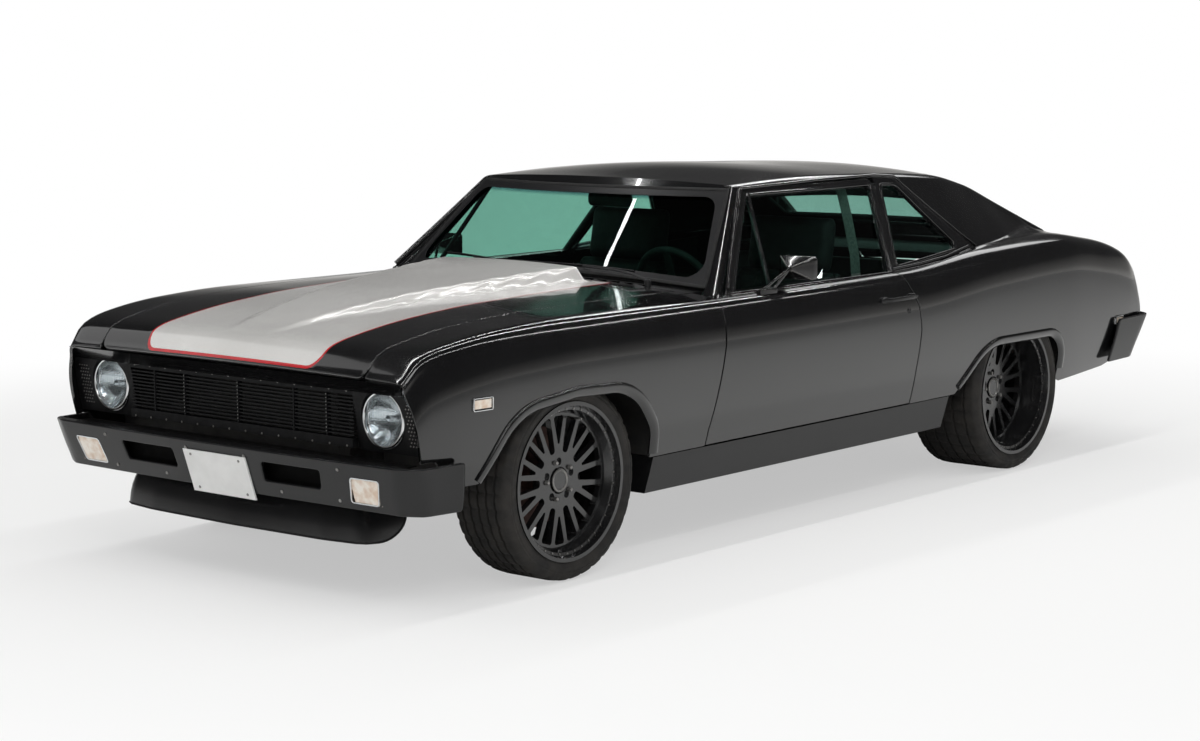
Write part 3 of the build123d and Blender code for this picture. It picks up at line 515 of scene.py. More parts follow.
def smooth_through(xs, ys):
    """Monotone cubic through the rows of a table."""
    h, d = np.diff(xs), np.diff(ys) / np.diff(xs)
    m = np.zeros(len(xs))
    m[0], m[-1] = d[0], d[-1]
    for i in range(1, len(xs) - 1):
        if d[i - 1] * d[i] > 0:
            w1, w2 = 2 * h[i] + h[i - 1], h[i] + 2 * h[i - 1]
            m[i] = (w1 + w2) / (w1 / d[i - 1] + w2 / d[i])

    def value(x):
        x = min(max(x, xs[0]), xs[-1])
        i = min(max(int(np.searchsorted(xs, x)) - 1, 0), len(h) - 1)
        t = (x - xs[i]) / h[i]
        return ((1 + 2 * t) * (1 - t) ** 2 * ys[i] + t * (1 - t) ** 2 * h[i] * m[i]
                + t * t * (3 - 2 * t) * ys[i + 1] + t * t * (t - 1) * h[i] * m[i + 1])
    return value


def arc3(a, m, b, n, part=1.0):
    """n points after a along the arc through a, m, b; part 0.5 stops half way."""
    a, m, b = np.array(a), np.array(m), np.array(b)
    d = 2 * (a[0] * (m[1] - b[1]) + m[0] * (b[1] - a[1]) + b[0] * (a[1] - m[1]))
    c = np.array((((a @ a) * (m[1] - b[1]) + (m @ m) * (b[1] - a[1]) + (b @ b) * (a[1] - m[1])) / d,
                  ((a @ a) * (b[0] - m[0]) + (m @ m) * (a[0] - b[0]) + (b @ b) * (m[0] - a[0])) / d))
    r = np.linalg.norm(a - c)
    t0, t1, tm = (math.atan2(*(p - c)[::-1]) for p in (a, b, m))
    turn = (t1 - t0) % math.tau
    if (tm - t0) % math.tau > turn:
        turn -= math.tau
    turns = (t0 + turn * part * i / n for i in range(1, n + 1))
    return [tuple(c + r * np.array((math.cos(t), math.sin(t)))) for t in turns]


def line(a, b, n):
    return [(a[0] + (b[0] - a[0]) * i / n, a[1] + (b[1] - a[1]) * i / n) for i in range(1, n + 1)]


def hull_path(w, cx, cz, tz):
    """Half a section of the hull: sill, side, shoulder, crest at (cx, cz), top."""
    sill, bend, waist, shoulder = (w - 0.088, 0.230), (w - 0.046, 0.365), (w, cz - 0.190), (w - 0.028, cz - 0.042)
    path = [sill] + line(sill, bend, 6)
    path += arc3(bend, (w - 0.013, (bend[1] + waist[1]) / 2 - 0.008), waist, 14)
    path += arc3(waist, (w - 0.007, cz - 0.110), shoulder, 10)
    path += arc3(shoulder, ((shoulder[0] + cx) / 2 + 0.007, cz - 0.012), (cx, cz), 8)
    return path + arc3((cx, cz), (0, tz), (-cx, cz), 28, 0.5)


def roof_path(bx, ex, ez, cz):
    """Half a section of the greenhouse: side, rolled edge at (ex, ez), top."""
    foot, low, high = (bx + 0.018, 0.840), (ex + 0.020, ez - 0.030), (ex - 0.034, ez + 0.005)
    path = [foot] + line(foot, low, 16) + arc3(low, (ex + 0.004, ez - 0.007), high, 8)
    return path + arc3(high, (0, cz), (-high[0], high[1]), 24, 0.5)


class Skin:
    """Surface through smooth sections: u is y, v counts along the section from low side to high side."""

    def __init__(self, table, path, passes, whole=False):
        columns = [smooth_through(table[:, 0], table[:, i]) for i in range(1, 5)]
        self.y0, self.step = table[0, 0], 0.010
        self.count = int(round((table[-1, 0] - self.y0) / self.step)) + 1
        grid = np.array([path(*(c(self.y0 + i * self.step) for c in columns)) for i in range(self.count)])
        for _ in range(passes):
            grid[:, 1:-1] = (grid[:, :-2] + 2 * grid[:, 1:-1] + grid[:, 2:]) / 4
        if whole:
            grid = np.concatenate([grid, grid[:, -2::-1] * (-1, 1)], axis=1)
        self.grid, self.last = grid, grid.shape[1] - 1
        self.top = self.last // 2 if whole else self.last

    def row(self, y):
        t = min(max((y - self.y0) / self.step, 0), self.count - 1.001)
        i = int(t)
        return self.grid[i] * (1 - t + i) + self.grid[i + 1] * (t - i)

    def __call__(self, y, v):
        row = self.row(y)
        v = min(max(v, 0), self.last - 0.001)
        i = int(v)
        x, z = row[i] * (1 - v + i) + row[i + 1] * (v - i)
        return Vector((x, y, z))

    def at_z(self, y, z, crest):
        """v of a height on the side, below the section's crest."""
        row = self.row(y)[:crest + 1]
        return float(np.interp(z, np.maximum.accumulate(row[:, 1]) + np.arange(len(row)) * 1e-9, np.arange(len(row))))

    def at_x(self, y, x, crest):
        """v of a width on the top, above the crest."""
        row = self.row(y)[crest:self.top + 1]
        return crest + float(np.interp(-x, -row[:, 0], np.arange(len(row))))


hull = Skin(HULL, hull_path, 3)
roof = Skin(ROOF, roof_path, 3, whole=True)


def hull_side(y, z):
    return hull(y, hull.at_z(y, z, CREST))


def roof_top(y, x):
    return roof(y, roof.at_x(y, x, ROOF_EDGE))


def top_z(x, y):
    """Height of the hull's top at x, y."""
    row = hull.row(y)
    return float(np.interp(-abs(x), -row[CREST - 3:, 0], row[CREST - 3:, 1]))


# ------------------------------------------------------------------ camera, light, floor
AZIMUTH, ELEVATION, ROLL = math.radians(40.09), math.radians(7.86), math.radians(-0.24)
level = math.cos(ELEVATION)
look = Vector((-math.sin(AZIMUTH) * level, math.cos(AZIMUTH) * level, -math.sin(ELEVATION)))
right = Vector((math.cos(AZIMUTH), math.sin(AZIMUTH), 0))
up = right.cross(look)
right, up = right * math.cos(ROLL) + up * math.sin(ROLL), up * math.cos(ROLL) - right * math.sin(ROLL)
camera_data = bpy.data.cameras.new("camera")
camera = bpy.data.objects.new("camera", camera_data)
bpy.context.scene.collection.objects.link(camera)
camera.matrix_world = Matrix.Translation((6.287, -7.8915, 1.819)) @ Matrix((right, up, -look)).transposed().to_4x4()
camera_data.lens, camera_data.sensor_width = 76.02, 36
camera_data.shift_y, camera_data.clip_end = 0.0091, 200
bpy.context.scene.camera = camera
bpy.context.scene.view_settings.view_transform = "Standard"


def lamp(name, place, turn, size_x, size_y, radiance):
    """Rectangular lamp of an even radiance."""
    data = bpy.data.lights.new(name, "AREA")
    data.shape = "RECTANGLE"
    data.size, data.size_y = size_x, size_y
    data.energy = radiance * math.pi * size_x * size_y
    obj = bpy.data.objects.new(name, data)
    bpy.context.scene.collection.objects.link(obj)
    obj.matrix_world = Matrix.Translation(place) @ turn.to_4x4()


for name, place, aim, size_x, size_y, radiance in (("key", (5.5, -6.5, 5.5), (0.3, -0.5, 0.6), 3.0, 3.0, 3.2),
                                                   ("fill", (-6.0, -4.0, 4.5), (0, -0.5, 0.6), 4.0, 4.0, 0.7),
                                                   ("back", (-2.0, 6.5, 5.0), (0, 0.5, 0.8), 4.0, 2.0, 1.8)):
    towards = Vector(aim) - Vector(place)
    lamp(name, place, towards.to_track_quat("-Z", "Y").to_matrix(), size_x, size_y, radiance)
# long strip lamps overhead, along the car
TUBE_WIDTH = 0.06
for name, x, y0, y1, z, radiance in (("tube_1", 0.9, -6.0, 4.5, 4.2, 44), ("tube_2", -1.6, -5.0, 5.5, 4.2, 38),
                                     ("tube_3", 3.4, -4.0, 5.0, 3.6, 34)):
    lamp(name, (x, (y0 + y1) / 2, z), Matrix.Rotation(math.pi / 2, 3, "Z"), y1 - y0, TUBE_WIDTH, radiance)

# plain grey light, a darker room in reflections, white behind the object and through glass
world = bpy.data.worlds.new("studio")
bpy.context.scene.world = world
world.use_nodes = True
tree = world.node_tree
dim = put(tree.nodes["Background"], {"Color": (0.55, 0.55, 0.55, 1), "Strength": 1.0})
white = add(tree, "Background", {"Color": (1, 1, 1, 1)})
room, rays, coords, split, height = (
    add(tree, kind) for kind in ("Background", "LightPath", "TexCoord", "SeparateXYZ", "ValToRGB"))
stops = height.color_ramp.elements
stops[0].position, stops[0].color = 0.0, (0.60, 0.59, 0.57, 1)
stops[1].position, stops[1].color = 0.60, (0.025, 0.025, 0.025, 1)
for place, shade in ((0.17, (0.045, 0.045, 0.045, 1)), (0.05, (0.30, 0.295, 0.285, 1))):
    stops.new(place).color = shade
link(tree, (coords, "Generated", split, 0), (split, "Z", height, "Fac"), (height, "Color", room, "Color"))
seen = dim
for ray, light in (("Is Glossy Ray", room), ("Is Transmission Ray", white), ("Is Camera Ray", white)):
    mix = add(tree, "MixShader")
    link(tree, (rays, ray, mix, "Fac"), (seen, 0, mix, 1), (light, 0, mix, 2))
    seen = mix
link(tree, (seen, 0, tree.nodes["World Output"], "Surface"))

# floor that keeps the shadow near the object and fades to white round it
FLOOR_HALF, FLOOR_Z = 60.0, -0.001
floor_mesh = bpy.data.meshes.new("floor")
corners = [(x * FLOOR_HALF, y * FLOOR_HALF, FLOOR_Z) for x, y in ((-1, -1), (1, -1), (1, 1), (-1, 1))]
floor_mesh.from_pydata(corners, [], [(0, 1, 2, 3)])
floor = bpy.data.objects.new("floor", floor_mesh)
bpy.context.scene.collection.objects.link(floor)
floor_white, tree = blank_material("floor_white")
paint = put(tree.nodes["Principled BSDF"],
            {"Base Color": (0.80, 0.80, 0.79, 1), "Roughness": 0.6, "Specular IOR Level": 0.2})
glow = add(tree, "Emission", {"Color": (1, 1, 1, 1)})
rays, coords, mix = add(tree, "LightPath"), add(tree, "TexCoord"), add(tree, "MixShader")
distance = add(tree, "VectorMath", operation="LENGTH")
fade = add(tree, "MapRange", {"From Min": 2.6, "From Max": 5.5, "To Min": 0.50, "To Max": 1.0})
fade.interpolation_type = "SMOOTHSTEP"
share = add(tree, "Math", operation="MULTIPLY")
link(tree, (coords, "Object", distance, 0), (distance, "Value", fade, "Value"), (rays, "Is Camera Ray", share, 0),
     (fade, "Result", share, 1), (share, 0, mix, "Fac"), (paint, 0, mix, 1), (glow, 0, mix, 2),
     (mix, 0, tree.nodes["Material Output"], "Surface"))
floor_mesh.materials.append(floor_white)

# ------------------------------------------------------------------ CAD nodes and their finish
FINISH = {
    "paint": "hood trunk_lid roof_panel cowl_panel nose_panel tail_panel rear_deck_panel fender_{} quarter_{} door_{}",
    "satin": "rocker_panels front_bumper rear_bumper door_hardware_{}", "grille": "grille", "plastic": "chin_spoiler",
    "chassis": "floor_pan wheelhouses front_subframe rear_axle radiator", "iron": "engine knuckle_{}",
    "steel": "driveshaft exhaust fuel_tank", "vinyl": "seats",
    "trim": "dashboard cabin_trim steering_wheel steering_column",
    "glass": "rear_window quarter_glass door_glass_{}", "screen": "windshield", "lens": "headlamps",
    "amber": "marker_lamps", "lens_red": "tail_lamps", "white": "plate", "tyre": "tyre_front_{} tyre_rear_{}",
    "wheel": "rim_front_{} rim_rear_{}", "disc": "brake_disc_front_{} brake_disc_rear_{}"}
for key, names in FINISH.items():
    for name in [name.format(side) for name in names.split() for side, _ in SIDES]:
        NODES[name].data.materials.clear()
        NODES[name].data.materials.append(M[key])

# ------------------------------------------------------------------ painted panels
SEAM = 0.0022
HALF_SEAM_MM = 2.7
DOOR_FRONT = [(-880, 300), (-878, 424), (-816, 722), (-795, 905)]
DOOR_REAR = [(345, 905), (425, 760), (444, 660), (430, 500), (428, 300)]
FRONT_ARCH = rounded([(-2.400, 0.0, 0), (-2.090, 0.310, 0), (-1.900, 0.600, 0.220), (-1.620, 0.632, 0.30),
                      (-1.330, 0.620, 0.24), (-1.205, 0.470, 0.12), (-1.180, 0.300, 0), (-1.0, 0, 0)], 10)[1:-1]
REAR_ARCH = rounded([(0.5, 0, 0), (0.700, 0.300, 0), (0.962, 0.544, 0.270), (1.560, 0.540, 0.125),
                     (1.578, 0.330, 0), (1.6, 0, 0)], 10)[1:-1]
# section of the rolled lip, and how far its middle stands off the arch's line
ARCH_LIP = [(-0.0150, -0.006), (-0.0165, 0.002), (-0.0150, 0.0062), (-0.0100, 0.0088), (-0.0020, 0.0096),
            (0.0070, 0.0082), (0.0140, 0.0050), (0.0200, 0.0012), (0.0230, -0.0030), (0.0100, -0.006)]
LIP_OFFSET = 0.0165


def on_side(points):
    """(y, z) points on the hull's side as (y, v)."""
    return [(y, hull.at_z(y, z, CREST)) for y, z in divided(points, 0.04)]


def along_top(points):
    """(y, x) points on the hull's top as (y, v)."""
    return [(y, hull.at_x(y, x, CREST)) for y, x in divided(points, 0.04)]


def shut_line(points, shift):
    return [((y + shift) * MM, z * MM) for y, z in points]


def hood_edge(y):
    return 0.647 + 0.045 * (y + 2.400) / 1.562


nose = [(-2.342, 0.738), (-2.338, 0.700), (-2.297, 0.484), (-2.240, 0.484), (-2.172, 0.389), (-2.048, 0.389)]
fender = on_side(nose + FRONT_ARCH[1:-1] + [(-1.194, 0.365), (-0.8827, 0.365)]
                 + shut_line(DOOR_FRONT[1:], -HALF_SEAM_MM))
fender += along_top([(-0.7995, 0.8355), (-0.7995, 0.746), (-0.957, 0.746), (-0.957, hood_edge(-0.957) + SEAM),
                     (-2.342, hood_edge(-2.342) + SEAM)])
quarter = on_side([(0.4307, 0.365)] + shut_line(DOOR_REAR[-2::-1], HALF_SEAM_MM))
quarter += along_top([(0.3477, 0.836), (0.3477, 0.800), (1.150, 0.745), (1.600, 0.602), (1.7275, 0.602),
                      (1.7275, 0.6042), (1.890, 0.6402), (2.320, 0.6402)])
quarter += on_side([(2.320, 0.734), (2.320, 0.418), (2.000, 0.352), (1.610, 0.328), (1.571, 0.340)]
                   + REAR_ARCH[-2:0:-1] + [(0.758, 0.365)])
door = on_side([(-0.8773, 0.368)] + shut_line(DOOR_FRONT[1:], HALF_SEAM_MM))
door += along_top([(-0.791, 0.8355), (-0.791, 0.812), (0.3423, 0.812), (0.3423, 0.8375)])
door += on_side(shut_line(DOOR_REAR[:-1], -HALF_SEAM_MM) + [(0.4253, 0.368)])


def door_back(p):
    """Inner face of the door, drawn in from the jambs so that it clears them as it swings."""
    return Vector((0.782, p.y + (0.018 if p.y < -0.80 else -0.03 if p.y > 0.33 else 0), min(p.z, 0.874)))


def arch_lip(arch, low):
    """Rolled lip along a wheel opening, down to a height, standing out from the body's side."""
    spots = np.array([q for q in divided(arch, 0.018) if q[1] > (low if q[0] < -1.6 else 0.372)])
    way = np.gradient(spots, axis=0)
    way /= np.linalg.norm(way, axis=1)[:, None]
    path, out = [], []
    for (y, z), (wy, wz) in zip(spots, way):
        y, z = y - wz * LIP_OFFSET, z + wy * LIP_OFFSET
        path.append(hull_side(y, z))
        n = (hull_side(y + 0.01, z) - hull_side(y - 0.01, z)).cross(hull_side(y, z + 0.01) - hull_side(y, z - 0.01))
        out.append(n.normalized() if n.x > 0 else -n.normalized())
    return sweep(path, out, ARCH_LIP)


pair(arch_lip(FRONT_ARCH, 0.382), "arch_lip_front", "paint", sharp=60)
pair(arch_lip(REAR_ARCH, 0.372), "arch_lip_rear", "paint", sharp=60)
pair(panel(hull, fender), "fender_skin", "paint", replaces=["fender_{}"])
pair(panel(hull, quarter), "quarter_skin", "paint", replaces=["quarter_{}"])
pair(panel(hull, door, inner=door_back), "door_skin", "paint", "door_{}", ["door_{}"])


# ------------------------------------------------------------------ hood, lid and decks
def scoop_height(x, y):
    """Raised centre of the hood, narrow in front and open behind."""
    t = min(max((y + 2.24) / 1.31, 0), 1)
    rise = 0.052 * t ** 0.8
    half = 0.115 + 0.265 * t ** 0.85
    side = min(max((half - abs(x)) / 0.040, 0), 1)
    back = min(max((-0.938 - y) / 0.010, 0), 1)
    return rise * (side * side * (3 - 2 * side)) * back


def on_top(y, v):
    return Vector((-v, y, top_z(v, y)))


def on_hood(y, v):
    return Vector((-v, y, top_z(v, y) + scoop_height(v, y)))


def across_hood(front_y, half_front, half_rear, gap, radius, curve=None, rows=13, steps=6):
    """Outline in (y, -x) with a straight front and a rear that keeps a gap to the hood's curved rear edge."""
    rear = [(-0.925 + 0.087 * (k * (curve or half_rear) / 0.692) ** 2 - gap, -k * half_rear, 0)
            for k in np.linspace(1, -1, rows)]
    return rounded([(front_y, -half_front, radius), *rear, (front_y, half_front, radius)], steps)


hood_rim = across_hood(-2.3415, hood_edge(-2.34), 0.6915, 0, 0.035, 0.689, 21, 5)
stripe = [across_hood(-2.3395, 0.4300, 0.4530, 0.006, 0.055), across_hood(-2.3315, 0.4220, 0.4450, 0.006, 0.050)]
panel(on_hood, hood_rim, du=0.022, dv=0.022, zones=stripe).object(
    "hood_skin", "paint red silver", "hood", ["hood"], "hood_paint")
lid_half = [(1.7315, 0.5965, 0.02), (1.890, 0.6365, 0), (2.3195, 0.6365, 0.02)]
lid_rim = rounded([(y, -x, r) for y, x, r in lid_half] + lid_half[::-1], 4)
panel(on_top, lid_rim, dv=0.03).object("trunk_lid_skin", "paint", "trunk_lid", ["trunk_lid"])
deck_rim = [(1.60, -0.600), (1.7265, -0.6175), (1.7265, 0.6175), (1.60, 0.600)]
panel(on_top, deck_rim, dv=0.03).object("rear_deck_skin", "paint", replaces=["rear_deck_panel"])

# ------------------------------------------------------------------ roof, sails, pillars
SCREEN = dict(base_y=-0.845, sweep=0.144, at=0.739, base_z=0.913, lean=361 / 340)
GLASS_TOP, GLASS_LOW, GLASS_HALF_LOW, GLASS_HALF_TOP = 1.236, 0.906, 0.736, 0.608
BACK_SLOPE = 277 / 600
RAIL_Z = 1.243


def screen_y(x, z):
    """y of the windshield's outer face."""
    return SCREEN["base_y"] + SCREEN["sweep"] * (x / SCREEN["at"]) ** 2 + (z - SCREEN["base_z"]) * SCREEN["lean"]


def backlight_z(y, x=0.0):
    """Height of the rear window's plane, whose foot is bowed."""
    return 0.968 + (1.705 - 0.080 * (x / 0.620) ** 2 - y) * BACK_SLOPE


def sail_x(y):
    """Half width between the sails' inner walls."""
    return 0.520 + 0.132 * (y - 0.900) / 1.090


def header_y(x):
    """y where the windshield's face meets the roof."""
    y = -0.45
    for _ in range(12):
        y = screen_y(x, roof_top(y, x).z)
    return y


def rear_header_y(x):
    """y where the rear window's plane meets the roof."""
    lo, hi = 0.95, 1.40
    for _ in range(24):
        y = (lo + hi) / 2
        lo, hi = (y, hi) if roof_top(y, x).z > backlight_z(y, x) else (lo, y)
    return (lo + hi) / 2


def sail_foot(y):
    """v where the greenhouse's side meets the body."""
    for v in np.arange(ROOF_EDGE + 8, 0, -0.25):
        p = roof(y, v)
        if p.z < top_z(min(p.x, 0.99 * hull.row(y)[CREST][0]), y) - 0.003:
            return float(v)
    return 0.0


def on_top_at(y, x):
    return y, roof.at_x(y, x, ROOF_EDGE)


def on_side_at(y, z):
    return y, roof.at_z(y, z, ROOF_EDGE)


half = [on_top_at(header_y(x), x) for x in np.linspace(0.0, 0.575, 14)]
half += [on_side_at(y, RAIL_Z) for y in np.linspace(-0.385, 0.505, 24)]
half += [on_side_at(0.508 - 0.148 * t, RAIL_Z - 0.358 * t) for t in np.linspace(0.05, 1, 10)]
half += [(y, sail_foot(y)) for y in np.linspace(0.40, 1.78, 40)]
half += [on_top_at(y, sail_x(y)) for y in np.linspace(1.785, 1.16, 20)]
half += [on_top_at(rear_header_y(x), x) for x in np.linspace(0.535, 0.0, 14)]
roof_rim = half + [(y, roof.last - v) for y, v in reversed(half[1:-1])]
pane_corners = [(0.388, 0.905, 0.010), (0.532, 1.214, 0.015), (0.650, 1.208, 0.060), (0.912, 0.944, 0.025)]
pane_hole = divided(rounded(pane_corners, 5), 0.03, closed=True)
pane_left = [on_side_at(y, z) for y, z in pane_hole]
pane_right = [(y, roof.last - v) for y, v in pane_left]
panel(roof, roof_rim, [pane_left, pane_right], thick=0.020, hem=0.018).object(
    "roof_skin", "paint", replaces=["roof_panel"])

# header above the windshield
low, high = [], []
for x in np.linspace(-0.612, 0.612, 31):
    low.append(Vector((x, screen_y(x, GLASS_TOP), GLASS_TOP)))
    over = max(abs(x) - 0.575, 0)
    p = roof_top(header_y(abs(x) - over), abs(x) - over)
    high.append(Vector((x, p.y + over * 0.3, p.z - over * 0.45)))
header = sheet([low, high]).join(sheet([[p + Vector((0, 0.030, -0.012)) for p in low], low]))
# pillars beside the windshield
rings = []
for z in np.linspace(0.868, 1.246, 12):
    x_out = 0.800 - 0.168 * (z - 0.880) / 0.352
    x_in = GLASS_HALF_LOW - 0.128 * (z - GLASS_LOW) / 0.330
    y_out, y_in = screen_y(x_out, z), screen_y(x_in, z)
    rings.append([Vector((x, y, z)) for x, y in (
        (x_in, y_in), ((x_in + x_out) / 2, (y_in + y_out) / 2 - 0.004), (x_out - 0.006, y_out - 0.001),
        (x_out + 0.002, y_out + 0.012), (x_out + 0.001, y_out + 0.058), (x_in - 0.004, y_in + 0.058))])
header.join(both_sides(loft(rings)))
# inner walls of the sails
wall_top, wall_low = [], []
for y in np.linspace(1.14, 1.780, 24):
    wall_top.append(roof_top(y, sail_x(y)))
    wall_low.append(Vector((sail_x(y) - 0.002, y, min(backlight_z(y, sail_x(y)) - 0.004, wall_top[-1].z - 0.001))))
header.join(both_sides(sheet([wall_low, wall_top]))).object("pillars_and_header", "paint", sharp=40)


# rear window surround
def on_back(y, v):
    return Vector((-v, y, backlight_z(y, v)))


edge = [(1.112 + 0.476 * t, 0.500 + 0.068 * t) for t in np.linspace(0.1, 0.9, 9)]
back_hole = [(1.112, x) for x in np.linspace(-0.500, 0.500, 9)] + edge
back_hole += [(1.588 + 0.067 * (1 - (x / 0.568) ** 2), x) for x in np.linspace(0.568, -0.568, 17)]
back_hole += [(y, -x) for y, x in reversed(edge)]
edge = [(y, sail_x(y)) for y in np.linspace(1.20, 1.690, 14)]
back_rim = [(rear_header_y(x) - 0.002, x) for x in np.linspace(-0.545, 0.545, 13)] + edge
back_rim += [(1.718 - 0.055 * (x / 0.62) ** 2, x) for x in np.linspace(0.60, -0.60, 15)]
back_rim += [(y, -x) for y, x in reversed(edge)]
panel(on_back, [(y, -x) for y, x in back_rim], [[(y, -x) for y, x in back_hole]], dv=0.03, thick=0.012,
      hem=0.010).object("rear_window_surround", "paint")

# soft blend from the sails' sides down to the body's top
BLEND_REACH, BLEND_LIFT = 0.105, Vector((0.0006, 0, 0.0006))
rows = []
for y in np.linspace(0.985, 1.785, 44):
    foot_v = v = sail_foot(y)
    foot = roof(y, foot_v)
    reach = BLEND_REACH * min(1, (y - 0.98) / 0.16 + 0.02)
    while v < roof.at_x(y, sail_x(y), ROOF_EDGE) - 0.6 and (roof(y, v + 0.25) - foot).length < reach:
        v += 0.25
    out_x = min(foot.x + reach * 0.9, hull.row(y)[CREST][0] - 0.012)
    out_point = Vector((out_x, y, top_z(out_x, y)))
    rows.append([roof(y, v) * (1 - t) ** 2 + foot * (2 * t * (1 - t)) + out_point * t * t + BLEND_LIFT
                 for t in np.linspace(0, 1, 11)])
both_sides(sheet(rows)).object("sail_blends", "paint", sharp=70)

# drop-off pans that close the trunk floor out to the quarter panels
PAN_Y = [1.62, 1.72, 1.88, 2.04, 2.16, 2.32]
PAN_OUTER_Z = [0.375, 0.385, 0.412, 0.449, 0.489, 0.530]
rings = []
for y in np.linspace(1.620, 2.314, 16):
    z_out = float(np.interp(y, PAN_Y, PAN_OUTER_Z))
    x_out = hull_side(y, z_out).x - 0.012
    row = [(0.528, 0.4335), (0.560, 0.4300), (0.640, 0.4200), (0.740, 0.4170), (x_out - 0.030, z_out - 0.010),
           (x_out, z_out)]
    rings.append([Vector((x, y, z)) for x, z in row] + [Vector((x, y, z - 0.003)) for x, z in reversed(row)])
both_sides(loft(rings)).object("trunk_side_pans", "plastic", sharp=40)


# ------------------------------------------------------------------ door frames, rails and mouldings
def along_side(points):
    """Points and outward normals along (y, z) rows on the greenhouse's side."""
    spots, out = [], []
    for y, z in divided(points, 0.03):
        v = roof.at_z(y, z, ROOF_EDGE)
        spots.append(roof(y, v))
        out.append((roof(y + 0.01, v) - roof(y - 0.01, v)).cross(roof(y, v + 0.3) - roof(y, v - 0.3)).normalized())
    return spots, out


frame_line = rounded([(-0.706, 0.868, 0), (-0.352, 1.2265, 0.045), (0.483, 1.2265, 0.028), (0.334, 0.868, 0)], 6)
window_frame = sweep(*along_side(frame_line), bar(0.030, -0.024, 0.002))
window_frame.join(sweep(*along_side([(-0.330, 1.222), (-0.452, 0.885)]), bar(0.013, -0.014, 0.003)))
window_frame.join(sweep(*along_side([(-0.700, 0.884), (0.352, 0.884)]), bar(0.018, -0.020, 0.006)))
pair(window_frame, "window_frame", "paint", "door_{}", sharp=50)
drip = [(-0.700, 0.905), (-0.372, 1.2385), (0.10, 1.2475), (0.52, 1.2465), (0.66, 1.236),
        (0.98, 0.985), (1.037, 0.943)]
drip = rounded([(y, z, 0.04 if 0 < i < len(drip) - 1 else 0) for i, (y, z) in enumerate(drip)], 5)
rails = sweep(*along_side(drip), bar(0.011, -0.004, 0.010))
belt = rounded([(0.350, 0.886, 0), (0.56, 0.893, 0.2), (0.76, 0.905, 0.2), (0.977, 0.932, 0)], 5)
for lift in (0.0, 0.013):
    rails.join(sweep(*along_side([(y, z + lift) for y, z in belt]), bar(0.009, -0.003, 0.007)))
spots, out = along_side(pane_hole + pane_hole[:1])
rails.join(sweep(spots[:-1], out[:-1], bar(0.012, -0.010, 0.004), closed=True))
both_sides(rails).object("side_mouldings", "paint", sharp=50)

SEAL = bar(0.016, -0.010, 0.004)
GLASS_TAPER = GLASS_HALF_LOW - GLASS_HALF_TOP
GLASS_RISE = GLASS_TOP - GLASS_LOW
side_edge = [(GLASS_HALF_LOW - GLASS_TAPER * t, GLASS_LOW + GLASS_RISE * t) for t in np.linspace(0.08, 0.92, 12)]
edge_ring = [(x, 0.944 - 0.038 * (x / GLASS_HALF_LOW) ** 2) for x in np.linspace(-GLASS_HALF_LOW, GLASS_HALF_LOW, 25)]
edge_ring += side_edge + [(x, GLASS_TOP) for x in np.linspace(GLASS_HALF_TOP, -GLASS_HALF_TOP, 21)]
edge_ring += [(-GLASS_HALF_TOP - GLASS_TAPER * t, GLASS_TOP - GLASS_RISE * t) for t in np.linspace(0.08, 0.92, 12)]
ring = [Vector((x, screen_y(x, z), z)) for x, z in edge_ring]
sweep(ring, (0, -1, 1.06), SEAL, closed=True).object("windshield_seal", "rubber", sharp=50)
ring = [Vector((x, y, backlight_z(y, x))) for y, x in back_hole]
sweep(ring, (0, BACK_SLOPE, 1), SEAL, closed=True).object("rear_window_seal", "rubber", sharp=50)

# ------------------------------------------------------------------ bumpers and chin
# half outlines in mm: x, y of the upper edge, x, y of the lower edge, corner radius
FRONT_BLADE = [(0, -2411, 0, -2358, 0), (230, -2411, 230, -2358, 0), (480, -2406, 480, -2353, 0),
               (822, -2394, 803, -2345, 40), (893, -2356, 872, -2306, 40), (905, -2150, 893, -2150, 0)]
REAR_BLADE = [(0, 2405, 0, 2338, 0), (500, 2402, 500, 2335, 0), (822, 2392, 808, 2308, 40),
              (900, 2330, 876, 2215, 30), (916, 2045, 893, 1985, 0)]
CHIN = [(0, -2300, 0, -2338, 0), (400, -2298, 420, -2326, 0), (560, -2280, 590, -2300, 60), (640, -2150, 650, -2160, 0)]
FRONT_Z, REAR_Z, CHIN_Z = (0.318, 0.480), (0.370, 0.560), (0.196, 0.312)
TURN_LAMP = (0.6127, 0.7343, 0.3457, 0.4303)
BLADE_SAMPLES = 160
FRONT_LEAN = (0, -1, -0.32)


def thinned_evenly(points, count):
    """The same number of points along any polyline, by share of its length."""
    a = np.array([p for k, p in enumerate(points) if k == 0 or math.dist(p, points[k - 1]) > 1e-7])
    run = np.concatenate([[0], np.cumsum(np.linalg.norm(np.diff(a, axis=0), axis=1))])
    at = np.linspace(0, run[-1], count)
    return np.stack([np.interp(at, run, a[:, 0]), np.interp(at, run, a[:, 1])], axis=1)


